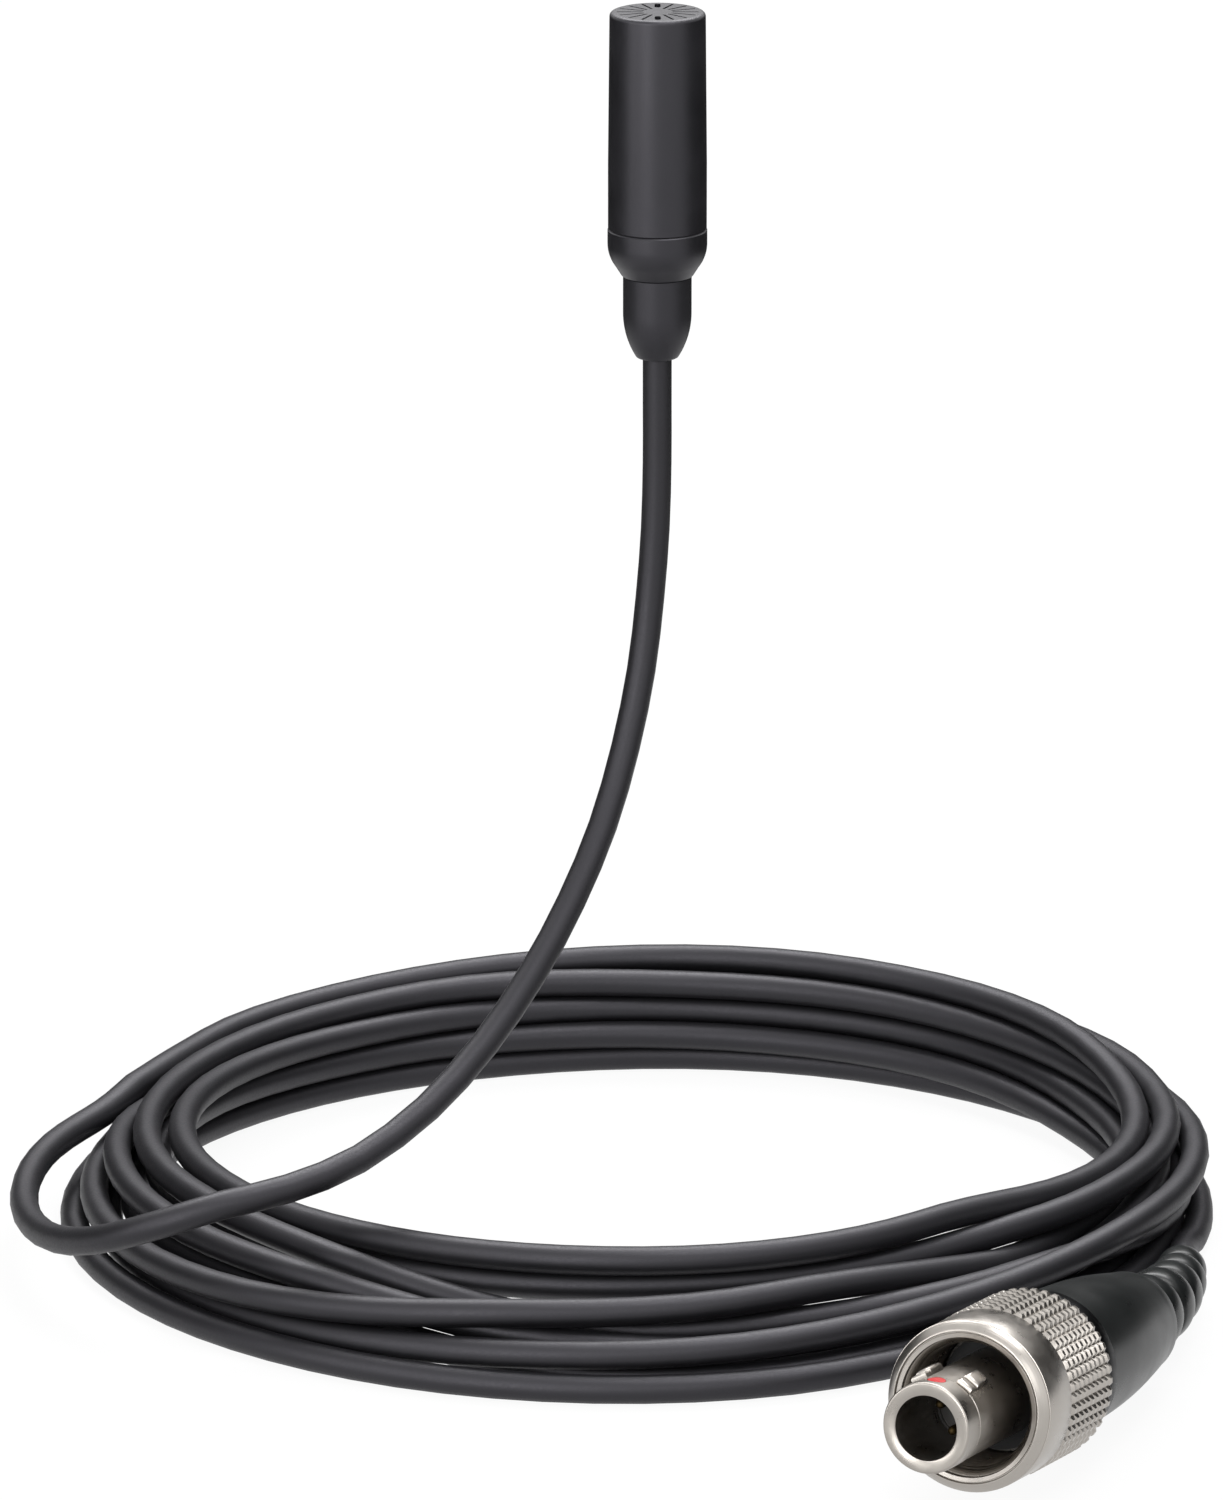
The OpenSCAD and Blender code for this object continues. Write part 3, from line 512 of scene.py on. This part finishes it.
skin(tree, surface, Base_Color=shade.outputs[2], Normal=relief.outputs["Normal"])


WAVE = 0.314                # stripe spacing of a wave texture at scale 1


def worked_metal(name, dark, light, rough, mark, depth):
    """Turned and plated metal: tool marks of the given pitch round its axis
    and a faint haze of handling, which dulls the gloss in patches."""
    made, tree, surface, where = new_material(name, Metallic=1.0, Roughness=rough)
    marks = add(tree, "ShaderNodeTexWave", {
        "Vector": where, "Scale": WAVE / (mark * MM), "Distortion": 1.5, "Detail": 2.0,
        "Detail Scale": 0.6}, bands_direction="Z")
    haze = add(tree, "ShaderNodeTexNoise", {
        "Vector": where, "Scale": 1 / (1.2 * MM), "Detail": 5.0, "Roughness": 0.6})
    grit = add(tree, "ShaderNodeTexNoise", {"Vector": where, "Scale": 1 / (0.06 * MM), "Detail": 3.0})
    shade = add(tree, "ShaderNodeMix", {
        "Factor": haze.outputs["Fac"], 6: linear(dark), 7: linear(light)}, data_type="RGBA")
    gloss = add(tree, "ShaderNodeMapRange", {
        "Value": haze.outputs["Fac"], "From Min": 0.25, "From Max": 0.75, "To Min": rough - 0.06,
        "To Max": rough + 0.08})
    fine = add(tree, "ShaderNodeMath", {0: marks.outputs["Fac"], 1: grit.outputs["Fac"]}, operation="ADD")
    relief = add(tree, "ShaderNodeBump", {"Height": fine.outputs[0], "Strength": 0.5, "Distance": depth * MM})
    skin(tree, surface, Base_Color=shade.outputs[2], Roughness=gloss.outputs["Result"],
         Normal=relief.outputs["Normal"])
    return made


def mottled(name, dark, light, rough, size, metallic=0.0):
    """Plain film, board or rubber: two close shades in patches of one size."""
    made, tree, surface, where = new_material(name, Metallic=metallic, Roughness=rough)
    patches = add(tree, "ShaderNodeTexNoise", {"Vector": where, "Scale": 1 / (size * MM), "Detail": 4.0})
    shade = add(tree, "ShaderNodeMix", {
        "Factor": patches.outputs["Fac"], 6: linear(dark), 7: linear(light)}, data_type="RGBA")
    relief = add(tree, "ShaderNodeBump", {
        "Height": patches.outputs["Fac"], "Strength": 0.3, "Distance": 0.01 * MM})
    skin(tree, surface, Base_Color=shade.outputs[2], Normal=relief.outputs["Normal"])
    return made


# Turned brass is warm and bright, nickel and gold plate keep its tool marks,
# and the films, board, plastics and rubbers are plain and even.
brass = worked_metal("turned_brass", "#b98f42", "#cda65a", 0.3, 0.08, 0.004)
plated_brass = worked_metal("nickelled_brass_tube", "#aaa69d", "#beb9af", 0.3, 0.08, 0.004)
gold = worked_metal("gold_plate", "#c79a3c", "#dcb45c", 0.22, 0.1, 0.002)
gold_film = mottled("gold_sputtered_film", "#c9a355", "#dabb78", 0.25, 0.4, 1.0)
polyimide = mottled("polyimide_film", "#9a5f22", "#b3752e", 0.35, 0.5)
ptfe = mottled("ptfe", "#d9d6cb", "#e8e5dc", 0.45, 0.4)
solder_mask = mottled("solder_mask", "#23582f", "#2f6e3d", 0.35, 0.5)
epoxy = mottled("moulded_epoxy", "#161616", "#202020", 0.5, 0.1)
red_pvc = mottled("red_pvc_insulation", "#93241e", "#b0322a", 0.4, 0.3)
seal_rubber = mottled("nitrile_rubber", "#121213", "#1a1a1b", 0.6, 0.15)
inside = {
    "cap_screen": woven_steel, "housing_tube": plated_brass, "cap_seal": seal_rubber,
    "crimp_ferrule": brass, "capsule_can": plated_brass, "front_diaphragm_ring": brass,
    "front_diaphragm": gold_film, "front_spacer": polyimide, "backplate": brass,
    "rear_spacer": polyimide, "rear_diaphragm": gold_film, "rear_diaphragm_ring": brass,
    "insulator_ring": ptfe, "contact_sleeve": gold, "circuit_board": solder_mask,
    "fet": epoxy, "capsule_gasket": seal_rubber, "head_wires": red_pvc,
}


def finish_nodes(finishes):
    """Gives pieces that stay as the CAD drew them their material."""
    for name, finish in finishes.items():
        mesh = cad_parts[name].data
        mesh.materials.clear()
        mesh.materials.append(finish)


finish_nodes(inside)

# -------------------------------------------------------------- plug shell
# Turned brass shell, satin nickel plated. The nose has a full-width front
# band, an index dot in red enamel behind it and two guide keys that find the
# slots of the socket.

nose_r, nose_len, nose_front, nose_bore, nose_round = 2.5, 5.4, 1.6, 1.75, 0.14
guide_r, guide_groove_r = 2.46, 2.4
flange_front, flange_rear, flange_r = -5.0, -6.1, 3.47
shell_rear, shell_tail_r, tail_bore, insert_seat = -10.1, 2.9, 2.3, -3.7
step = nose_len - nose_front
shell = revolve("nose_shell", (
    rounded((nose_bore, nose_len), (nose_r, nose_len), (nose_r, step), nose_round, 5)
    + [(nose_r, step + 0.05), (nose_r - 0.05, step),
       (guide_groove_r, step - 0.02), (guide_groove_r, step - 0.1), (guide_r, step - 0.15),
       (guide_r, flange_front), (flange_r - 0.02, flange_front), (flange_r, flange_front - 0.04),
       (flange_r, flange_rear), (shell_tail_r, flange_rear), (shell_tail_r, shell_rear),
       (tail_bore, shell_rear), (tail_bore, insert_seat), (nose_bore, insert_seat),
       (nose_bore, nose_len - 0.16), (nose_bore + 0.04, nose_len - 0.05),
       (nose_bore + 0.14, nose_len)]), around=160)
dot_r, dot_depth, dot_z, dot_bearing = 0.5, 0.15, nose_len - 1, math.radians(88)
dot_room, dot_proud = 0.02, 0.02


def round_bar(r, near, far, steps=40):
    """Closed bar of radius r that points out of the nose at the index dot."""
    out = Vector((*polar(1, dot_bearing), 0))
    aside = Vector((-out.y, out.x, 0))
    around_bar = [polar(r, math.tau * k / steps) for k in range(steps)]
    outline = [aside * across + Vector((0, 0, dot_z + along)) for across, along in around_bar]
    return [tuple(v + out * reach) for reach in (near, far) for v in outline], bar_faces(steps)


cut(shell, link_mesh("dot_cutter", *round_bar(dot_r + dot_room, nose_r - dot_depth, nose_r + 1)))
shell.data.set_sharp_from_angle(angle=math.radians(32))

# Satin nickel over turned brass: a soft, slightly warm grey with fine rings.
# On the nose it is painted a shade darker: painted shade that holds down the lamps' highlights there.
satin_nickel = worked_metal("satin_nickel_plate", "#a6a19b", "#afaaa4", 0.3, 0.11, 0.003)
nose_nickel = worked_metal("shaded_nickel_plate", "#9a958f", "#a49f99", 0.3, 0.11, 0.003)
shell.data.materials.clear()
shell.data.materials.append(nose_nickel)
shell.matrix_world = plug_place
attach(shell, "microphone")
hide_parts("plug_shell")

# The dot: enamel run into the pocket, its face a hair proud of the nose. Its
# points are (distance from the axis, turn round it, place along it).
rings, dot_sides = 6, 32
verts = [(nose_r + dot_proud, 0, 0)]
for i in range(rings + 1):
    across = dot_r * min(1, (i + 1) / rings)
    out = nose_r + dot_proud * (1 - (across / dot_r) ** 4) if i < rings else nose_r - dot_depth + 0.01
    for k in range(dot_sides):
        turn, along = polar(across, math.tau * k / dot_sides)
        verts.append((out, turn / nose_r, along))
verts = [(*polar(out, dot_bearing + turn), dot_z + along) for out, turn, along in verts]
faces = [[0, 1 + k, 1 + (k + 1) % dot_sides] for k in range(dot_sides)]
for i in range(rings):
    low = 1 + i * dot_sides
    faces += band(low, low + dot_sides, dot_sides)
faces.append(list(range(1 + rings * dot_sides, 1 + (rings + 1) * dot_sides)))
dot = link_mesh("index_enamel", verts, faces, sharp=50)

# Stoved enamel: glossy, even red.
red_enamel = mottled("red_enamel", "#c41a22", "#d4252c", 0.25, 0.2)
dot.data.materials.append(red_enamel)
dot.matrix_world = plug_place
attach(dot, "microphone")
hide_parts("index_dot")

# The keys: a low tooth and a longer block each, milled with the shell and
# rounded over by the plating.
key_w, key_len, key_tooth, key_gap, key_h, key_angle = 0.95, 1.5, 0.6, 0.15, 0.4, math.radians(31)
key_front, key_root_r, key_crown = step - 0.1, guide_r - 0.02, 0.03
tooth_low = key_front - key_tooth
# Outlines from the root up: inset across, inset along and share of the height
key_rows = ((0, 0, 0), (0, 0, 0.55), (0.03, 0.03, 0.8), (0.1, 0.1, 0.96), (0.18, 0.18, 1))
verts, faces = [], []
for side in (-1, 1):
    middle = dot_bearing + side * key_angle
    for z0, length, height in ((tooth_low, key_tooth, key_h * 0.7),
                               (tooth_low - key_gap - key_len, key_len, key_h)):
        base = len(verts)
        for inset_x, inset_z, up in key_rows:
            half, low, high = key_w / 2 - inset_x, z0 + inset_z, z0 + length - inset_z
            for x, z in ((-half, low), (0, low), (half, low), (half, high), (0, high), (-half, high)):
                out = guide_r + height * up + (key_crown if x == 0 and up > 0.9 else 0)
                if up == 0:
                    out = math.sqrt(key_root_r ** 2 - x * x)
                verts.append((*turned(out, x, middle), z))
        for i in range(len(key_rows) - 1):
            faces += band(base + i * 6, base + (i + 1) * 6, 6)
        top = base + (len(key_rows) - 1) * 6
        faces += [[top, top + 1, top + 4, top + 5], [top + 1, top + 2, top + 3, top + 4]]
        faces += [[base + 5, base + 4, base + 1, base], [base + 4, base + 3, base + 2, base + 1]]
keys = link_mesh("guide_key_pair", verts, faces, sharp=40)
keys.data.materials.append(satin_nickel)
keys.matrix_world = plug_place
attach(keys, "microphone")
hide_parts("guide_keys")

# ---------------------------------------------------- contact insert, pins
# Black moulded insert deep in the nose, with three pins in gold plate that is painted dark as the shade of
# the bore.
# Their tips are rounded to find the socket's sleeves.

insert_face_r, insert_r, insert_foot_r = 1.5, 1.73, 2.28
insert_front, insert_rear = -0.1, -5.1
insert = revolve("insert_block", [
    (0, insert_front), (insert_face_r, insert_front), (insert_face_r + 0.08, insert_front - 0.06),
    (insert_r, insert_front - 0.06), (insert_r, insert_seat), (insert_foot_r, insert_seat),
    (insert_foot_r, insert_rear), (0, insert_rear)], around=64)

# Polyetheretherketone, moulded and filled black: dull, with a trace of grain.
peek = mottled("peek_insert", "#1a1918", "#232120", 0.5, 0.12)
insert.data.materials.append(peek)
insert.matrix_world = plug_place
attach(insert, "microphone")
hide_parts("contact_insert")

pin_count, pin_r, pin_circle, pin_tip, pin_sides = 3, 0.25, 0.9, 1.9, 24
cup_r, cup_bore, cup_depth, cup_front, cup_rear = 0.38, 0.28, 0.7, -5.11, -6.9
pin_profile = [
    (cup_bore, cup_rear + cup_depth), (cup_bore, cup_rear), (cup_r, cup_rear), (cup_r, cup_front),
    (pin_r, cup_front), *arc((0, pin_tip - pin_r), pin_r, 0, 90, 6)[:-1]]
verts, faces = [], []
for i in range(pin_count):
    x, y = polar(pin_circle, math.radians(30 + 360 / pin_count * i))
    base = len(verts)
    verts.append((x, y, cup_rear + cup_depth))
    for r, z in pin_profile:
        round_pin = [polar(r, math.tau * k / pin_sides) for k in range(pin_sides)]
        verts += [(x + dx, y + dy, z) for dx, dy in round_pin]
    verts.append((x, y, pin_tip))
    last = len(verts) - 1
    for row in range(len(pin_profile) - 1):
        low = base + 1 + row * pin_sides
        faces += band(low, low + pin_sides, pin_sides)
    for k in range(pin_sides):
        m = (k + 1) % pin_sides
        faces += [[base, base + 1 + m, base + 1 + k], [last, last - pin_sides + k, last - pin_sides + m]]
pins = link_mesh("contact_pin_set", verts, faces, sharp=50)

# Hard gold plate, painted a dark brownish yellow: painted shade of the deep bore, which keeps the pins dim.
shaded_gold = mottled("shaded_gold_plate", "#3f3522", "#4a3e28", 0.55, 0.2, 1.0)
pins.data.materials.append(shaded_gold)
pins.matrix_world = plug_place
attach(pins, "microphone")
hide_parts("contact_pins")

# ----------------------------------------------------------- coupling ring
# Nickel-plated brass ring that turns on the plug and screws onto the socket:
# a plain collar, a band of cut square teeth for the fingers and a fine
# thread inside its mouth. The collar is left without letters.

ring_len, collar_r, collar_len, knurl_r = 9.4, 4.75, 3.5, 4.8
groove_w, groove_d = 0.2, 0.12
thread_r, thread_pitch, thread_h, thread_rear, thread_len, thread_fade = 3.55, 0.5, 0.16, -6.1, 5.5, 3
knurl_front, knurl_back = -collar_len - groove_w, -ring_len + 0.12
teeth_around, teeth_along, knurl_h, tooth_top = 46, 9, 0.26, 0.42
knurl_root = knurl_r - knurl_h
nut_room_r, web_bore_r, web_front, web_rear = 3.9, 2.98, -6.3, -7.5
around, knurl_rows = 2 * teeth_around, 2 * teeth_along
front_of_ring = [
    # Bevel of the mouth
    (thread_r + 0.01, -0.66), (thread_r + 0.03, -0.6), (3.78, -0.36), (3.82, -0.34), (3.83, -0.1),
    # Flat face with a fine turned groove, and the chamfer outside it
    (3.86, -0.06), (4.08, -0.03), (4.1, -0.05), (4.11, -0.16), (4.15, -0.16), (4.17, -0.03), (4.2, 0),
    (4.24, 0), (4.28, -0.015), (4.68, -0.4), (4.7, -0.44), (4.7, -0.5),
    # Plain collar, and the groove before the knurl
    (collar_r - 0.01, -0.51), (collar_r, -0.54), (collar_r, -collar_len + 0.06),
    (collar_r - 0.02, -collar_len), (collar_r - groove_d, -collar_len - 0.02),
    (collar_r - groove_d, knurl_front + 0.04), (knurl_root, knurl_front)]
back_of_ring = [
    (knurl_root, knurl_back), (knurl_root - 0.05, -ring_len), (nut_room_r + 0.05, -ring_len),
    (nut_room_r, -ring_len + 0.05), (nut_room_r, web_rear), (web_bore_r, web_rear),
    (web_bore_r, web_front), (thread_r, web_front)]
thread_rows = 4 * round(thread_len / thread_pitch)
thread_of_ring = [(thread_r, thread_rear + thread_len * i / thread_rows) for i in range(thread_rows + 1)]


def knurl_z(row):
    """Place along the ring of a row of the knurled band, whole or between."""
    return knurl_front + (knurl_back - knurl_front) * row / knurl_rows


def groove_depth(between_rows, between_columns):
    """Depth share of the knurl's grooves: full where two of them cross."""
    return 0.55 if between_rows else 0.8 if between_columns else 1


profile = front_of_ring + [(knurl_root, knurl_z(i)) for i in range(1, knurl_rows)]
profile += back_of_ring + thread_of_ring
knurl_start = len(front_of_ring) - 1
first_thread = len(profile) - len(thread_of_ring)
verts, faces = [], []
for row, (r, z) in enumerate(profile):
    for k in range(around):
        out = r
        if knurl_start <= row <= knurl_start + knurl_rows:
            out = knurl_r - knurl_h * groove_depth((row - knurl_start) % 2, k % 2)
        if row >= first_thread:
            # A thread with flat crests and roots that fades out at both ends
            inward = abs(((z / thread_pitch + k / around) % 1) * 2 - 1)
            from_ends = min(row - first_thread, len(profile) - 1 - row)
            out = r - thread_h * min(1, from_ends / thread_fade) * min(1, max(0, 1.4 * inward - 0.2))
        verts.append((*polar(out, math.tau * k / around), z))
for row in range(len(profile)):
    if not knurl_start <= row < knurl_start + knurl_rows:
        faces += band(row * around, (row + 1) % len(profile) * around, around)


def knurl_point(row, column, share_row, share_column, out):
    """Point of the knurled band, in its own rows and columns."""
    return *polar(out, math.tau * (column + share_column) / around), knurl_z(row + share_row)


# Square teeth in straight rows: each stands on eight points of its cell's
# grooves and ends in a small flat.
for row in range(1, knurl_rows, 2):
    for column in range(1, around, 2):
        feet = [(knurl_start + row + dr) * around + (column + dc) % around
                for dr, dc in ((-1, -1), (-1, 0), (-1, 1), (0, 1), (1, 1), (1, 0), (1, -1), (0, -1))]
        top = len(verts)
        verts += [knurl_point(row, column, dr * tooth_top, dc * tooth_top, knurl_r)
                  for dr, dc in ((-1, -1), (-1, 1), (1, 1), (1, -1))]
        faces.append([top, top + 1, top + 2, top + 3])
        for k in range(4):
            corner, middle, following = feet[2 * k], feet[2 * k + 1], feet[(2 * k + 2) % 8]
            here, ahead = top + k, top + (k + 1) % 4
            faces += [[corner, middle, here], [middle, ahead, here], [middle, following, ahead]]
ring = link_mesh("knurled_ring", verts, faces, sharp=24)
ring.data.materials.append(satin_nickel)
ring.matrix_world = plug_place
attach(ring, "ring")
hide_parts("coupling_ring")

# ---------------------------------------------------------------- back nut
# Black anodised aluminium nut behind the ring. It holds the cable collet and
# carries the boot. Only its plain rim shows.

nut_front, nut_rim_r, nut_rear = -9.75, 4.3, -11.05
nut_bore_r, nut_floor, cord_hole_r = 3.32, -14.8, 1.2
nut_tail_r, nut_end = 3.62, -16.3
nut = revolve("nut_rim", (
    [(nut_bore_r, nut_front), (nut_rim_r - 0.15, nut_front), (nut_rim_r - 0.04, nut_front - 0.04),
     (nut_rim_r, nut_front - 0.15), (nut_rim_r, nut_rear + 0.1), (nut_rim_r - 0.03, nut_rear + 0.03),
     (nut_rim_r - 0.1, nut_rear), (nut_tail_r, nut_rear), (nut_tail_r, nut_end), (cord_hole_r, nut_end),
     (cord_hole_r, nut_floor), (nut_bore_r, nut_floor)]), around=128)

# Anodised aluminium, dyed black: satin, with the tool's rings still in it.
black_anodised = worked_metal("black_anodised_aluminium", "#0d0d0f", "#131316", 0.38, 0.12, 0.004)
nut.data.materials.append(black_anodised)
nut.matrix_world = plug_place
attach(nut, "microphone")
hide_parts("back_nut")

# ------------------------------------------------------ boot, bend relief
# Moulded rubber boot pushed over the nut, a little full in the middle and
# narrower at its end, and the ribbed tail that keeps the cord from kinking.

boot_front, boot_r, boot_end_r, boot_len, boot_swell = -11.05, 4.0, 2.95, 12.15, 0.3
boot_bore_r, boot_stop, tail_hole_r = 3.63, -16.4, 0.9
side, side_steps = [], 24
for i in range(side_steps + 1):
    t = i / side_steps
    side.append((boot_r + (boot_end_r - boot_r) * t + boot_swell * math.sin(math.pi * t),
                 boot_front - (boot_len - 0.3) * t))
boot = revolve("rubber_boot", (
    [(boot_bore_r, boot_front), (boot_r - 0.12, boot_front), (boot_r - 0.03, boot_front - 0.04),
     (side[1][0] - 0.002, boot_front - 0.2)]
    + side[1:-1]
    + [(boot_end_r + 0.01, boot_rear + 0.2), (boot_end_r - 0.03, boot_rear + 0.09),
       (boot_end_r - 0.1, boot_rear + 0.02), (boot_end_r - 0.2, boot_rear),
       (tail_hole_r, boot_rear), (tail_hole_r, boot_stop), (boot_bore_r, boot_stop)]), around=128)

# Chloroprene rubber, moulded in a polished tool and gone satin: cool dark
# grey, with soft broad highlights and a trace of bloom.
boot_rubber, tree, surface, where = new_material(
    "satin_chloroprene", Roughness=0.34, IOR=1.5, Specular_IOR_Level=0.3)
bloom = add(tree, "ShaderNodeTexNoise", {
    "Vector": where, "Scale": 1 / (3.0 * MM), "Detail": 4.0, "Roughness": 0.55})
grain = add(tree, "ShaderNodeTexNoise", {"Vector": where, "Scale": 1 / (0.09 * MM), "Detail": 4.0})
shade = add(tree, "ShaderNodeMix", {
    "Factor": bloom.outputs["Fac"], 6: linear("#151717"), 7: linear("#1e2020")}, data_type="RGBA")
gloss = add(tree, "ShaderNodeMapRange", {
    "Value": bloom.outputs["Fac"], "From Min": 0.3, "From Max": 0.7, "To Min": 0.26, "To Max": 0.36})
relief = add(tree, "ShaderNodeBump", {"Height": grain.outputs["Fac"], "Strength": 0.3, "Distance": 0.01 * MM})
skin(tree, surface, Base_Color=shade.outputs[2], Roughness=gloss.outputs["Result"],
     Normal=relief.outputs["Normal"])
boot.data.materials.append(boot_rubber)
boot.matrix_world = plug_place
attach(boot, "microphone")
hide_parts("boot")

rib_count, rib_r1, rib_r2, rib_groove, rib_steps = 5, 2.35, 1.45, 0.35, 14
rib_gap, rib_squareness, tail_sides = 0.22, 0.35, 64
angles, radii = [0], [tail_hole_r]
for i in range(rib_count):
    full = rib_r1 + (rib_r2 - rib_r1) * i / (rib_count - 1)
    for k in range(rib_steps):
        t = k / rib_steps
        along_rib = min(1, max(0, (t - rib_gap) / (1 - rib_gap)))
        swell = max(0.0, math.sin(math.pi * along_rib)) ** rib_squareness
        angles.append(bend_angle / rib_count * (i + t))
        radii.append(full - rib_groove + rib_groove * swell)
angles += [bend_angle, bend_angle]
radii += [rib_r2 - rib_groove, tail_hole_r]
verts, faces = [], []
for angle, r in zip(angles, radii):
    middle = bend_point(angle)
    outwards = Vector((math.cos(math.radians(angle)), 0, -math.sin(math.radians(angle))))
    for k in range(tail_sides):
        out, aside = polar(r, math.tau * k / tail_sides)
        verts.append(tuple(middle + out * outwards + aside * Vector((0, 1, 0))))
for row in range(len(angles)):
    faces += band(row * tail_sides, (row + 1) % len(angles) * tail_sides, tail_sides)
relief_tail = link_mesh("ribbed_tail", verts, faces, sharp=45)
relief_tail.data.materials.append(boot_rubber)
relief_tail.matrix_world = plug_place
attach(relief_tail, "microphone")
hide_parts("bend_relief")

# The rest of the plug is hidden in it: inner body, collet, wires and seal.
finish_nodes({
    "plug_wires": red_pvc, "nose_seal": seal_rubber,
    "plug_body": plated_brass, "collet": brass,
})

# ------------------------------------------------------------------ studio
# White table in an even white surround. A low key lamp and a broad one stand
# at the front left, weaker ones at the left and the right front, and two soft
# lamps hang over the top and the back. The table takes a faint shadow.

table_half = 6.0            # m
table_mesh = bpy.data.meshes.new("table")
table_mesh.from_pydata([(table_half * x, table_half * y, FLOOR * MM)
                        for x, y in ((-1, -1), (1, -1), (1, 1), (-1, 1))], [], [[0, 1, 2, 3]])
table = bpy.data.objects.new("table", table_mesh)
bpy.context.scene.collection.objects.link(table)
card_glow, sky_fill = 0.93, 0.12


def seen_directly(tree):
    """Light path node, and 1 where a camera, glossy or clear ray arrives."""
    path = add(tree, "ShaderNodeLightPath")
    seen = path.outputs["Is Camera Ray"]
    for ray in ("Is Glossy Ray", "Is Transmission Ray"):
        seen = add(tree, "ShaderNodeMath", {0: seen, 1: path.outputs[ray]}, operation="MAXIMUM").outputs[0]
    return path, seen


white_card = bpy.data.materials.new("white_card")
white_card.use_nodes = True
tree = white_card.node_tree
path, seen = seen_directly(tree)
share = add(tree, "ShaderNodeMath", {0: seen, 1: card_glow}, operation="MULTIPLY")
paper = add(tree, "ShaderNodeMix", {
    "Factor": path.outputs["Is Diffuse Ray"], 6: linear("#f0f0f0"), 7: linear("#606060")}, data_type="RGBA")
card = add(tree, "ShaderNodeBsdfDiffuse", {"Color": paper.outputs[2]})
glow = add(tree, "ShaderNodeEmission", {"Color": (1, 1, 1, 1), "Strength": 1.0})
both = add(tree, "ShaderNodeMixShader", {0: share.outputs[0], 1: card.outputs[0], 2: glow.outputs[0]})
tree.links.new(both.outputs[0], tree.nodes["Material Output"].inputs["Surface"])
table_mesh.materials.append(white_card)

world = bpy.data.worlds.new("studio")
world.use_nodes = True
tree = world.node_tree
path, seen = seen_directly(tree)
level = add(tree, "ShaderNodeMapRange", {"Value": seen, "To Min": sky_fill, "To Max": 1.0})
sky = tree.nodes["Background"]
tree.links.new(level.outputs["Result"], sky.inputs["Strength"])
sky.inputs["Color"].default_value = (1, 1, 1, 1)
bpy.context.scene.world = world


def soft_lamp(name, place, aim, size, power):
    """Rectangular area lamp that faces the point it is aimed at."""
    lamp = bpy.data.lights.new(name, "AREA")
    lamp.shape = "RECTANGLE"
    lamp.size, lamp.size_y = size
    lamp.energy = power
    made = bpy.data.objects.new(name, lamp)
    made.location = place
    made.rotation_euler = (Vector(aim) - Vector(place)).to_track_quat("-Z", "Y").to_euler()
    bpy.context.scene.collection.objects.link(made)


soft_lamp("key_front_left", (-0.3, -0.55, 0.03), (0, 0, -0.02), (0.12, 0.15), 0.3)
soft_lamp("broad_front_left", (-0.25, -0.6, 0.2), (0, 0, -0.02), (0.3, 0.5), 1.65)
soft_lamp("left_strip", (-0.45, -0.25, 0.1), (0, 0, -0.02), (0.1, 0.5), 0.8)
soft_lamp("right_fill", (0.4, -0.4, 0.15), (0, 0, -0.02), (0.25, 0.4), 0.15)
soft_lamp("front_right", (0.2, -0.6, 0.25), (0, 0, -0.02), (0.2, 0.3), 0.55)
soft_lamp("overhead", (0.15, -0.1, 0.5), (0, 0, -0.03), (0.3, 0.3), 1.6)
soft_lamp("overhead_back", (0, 0.3, 0.4), (0, 0, -0.03), (0.5, 0.3), 3.3)

# A black card, a little higher than the head, stands round the back. Only
# reflections see it: it gives the black pieces their dark edges and the
# plated ones their contrast.
flag_r, flag_top = 130, 30
flag_start, flag_sweep, flag_steps = -20, 220, 24
verts = []
for k in range(flag_steps + 1):
    x, y = polar(flag_r, math.radians(flag_start + flag_sweep * k / flag_steps))
    verts += [(x, y, FLOOR), (x, y, flag_top)]
faces = [[2 * k, 2 * k + 2, 2 * k + 3, 2 * k + 1] for k in range(flag_steps)]
flag = link_mesh("black_card", verts, faces)
flag.data.materials.append(mottled("black_felt", "#050505", "#080808", 0.9, 2.0))
flag.visible_camera = flag.visible_shadow = flag.visible_diffuse = False

bpy.context.scene.view_settings.view_transform = "Standard"
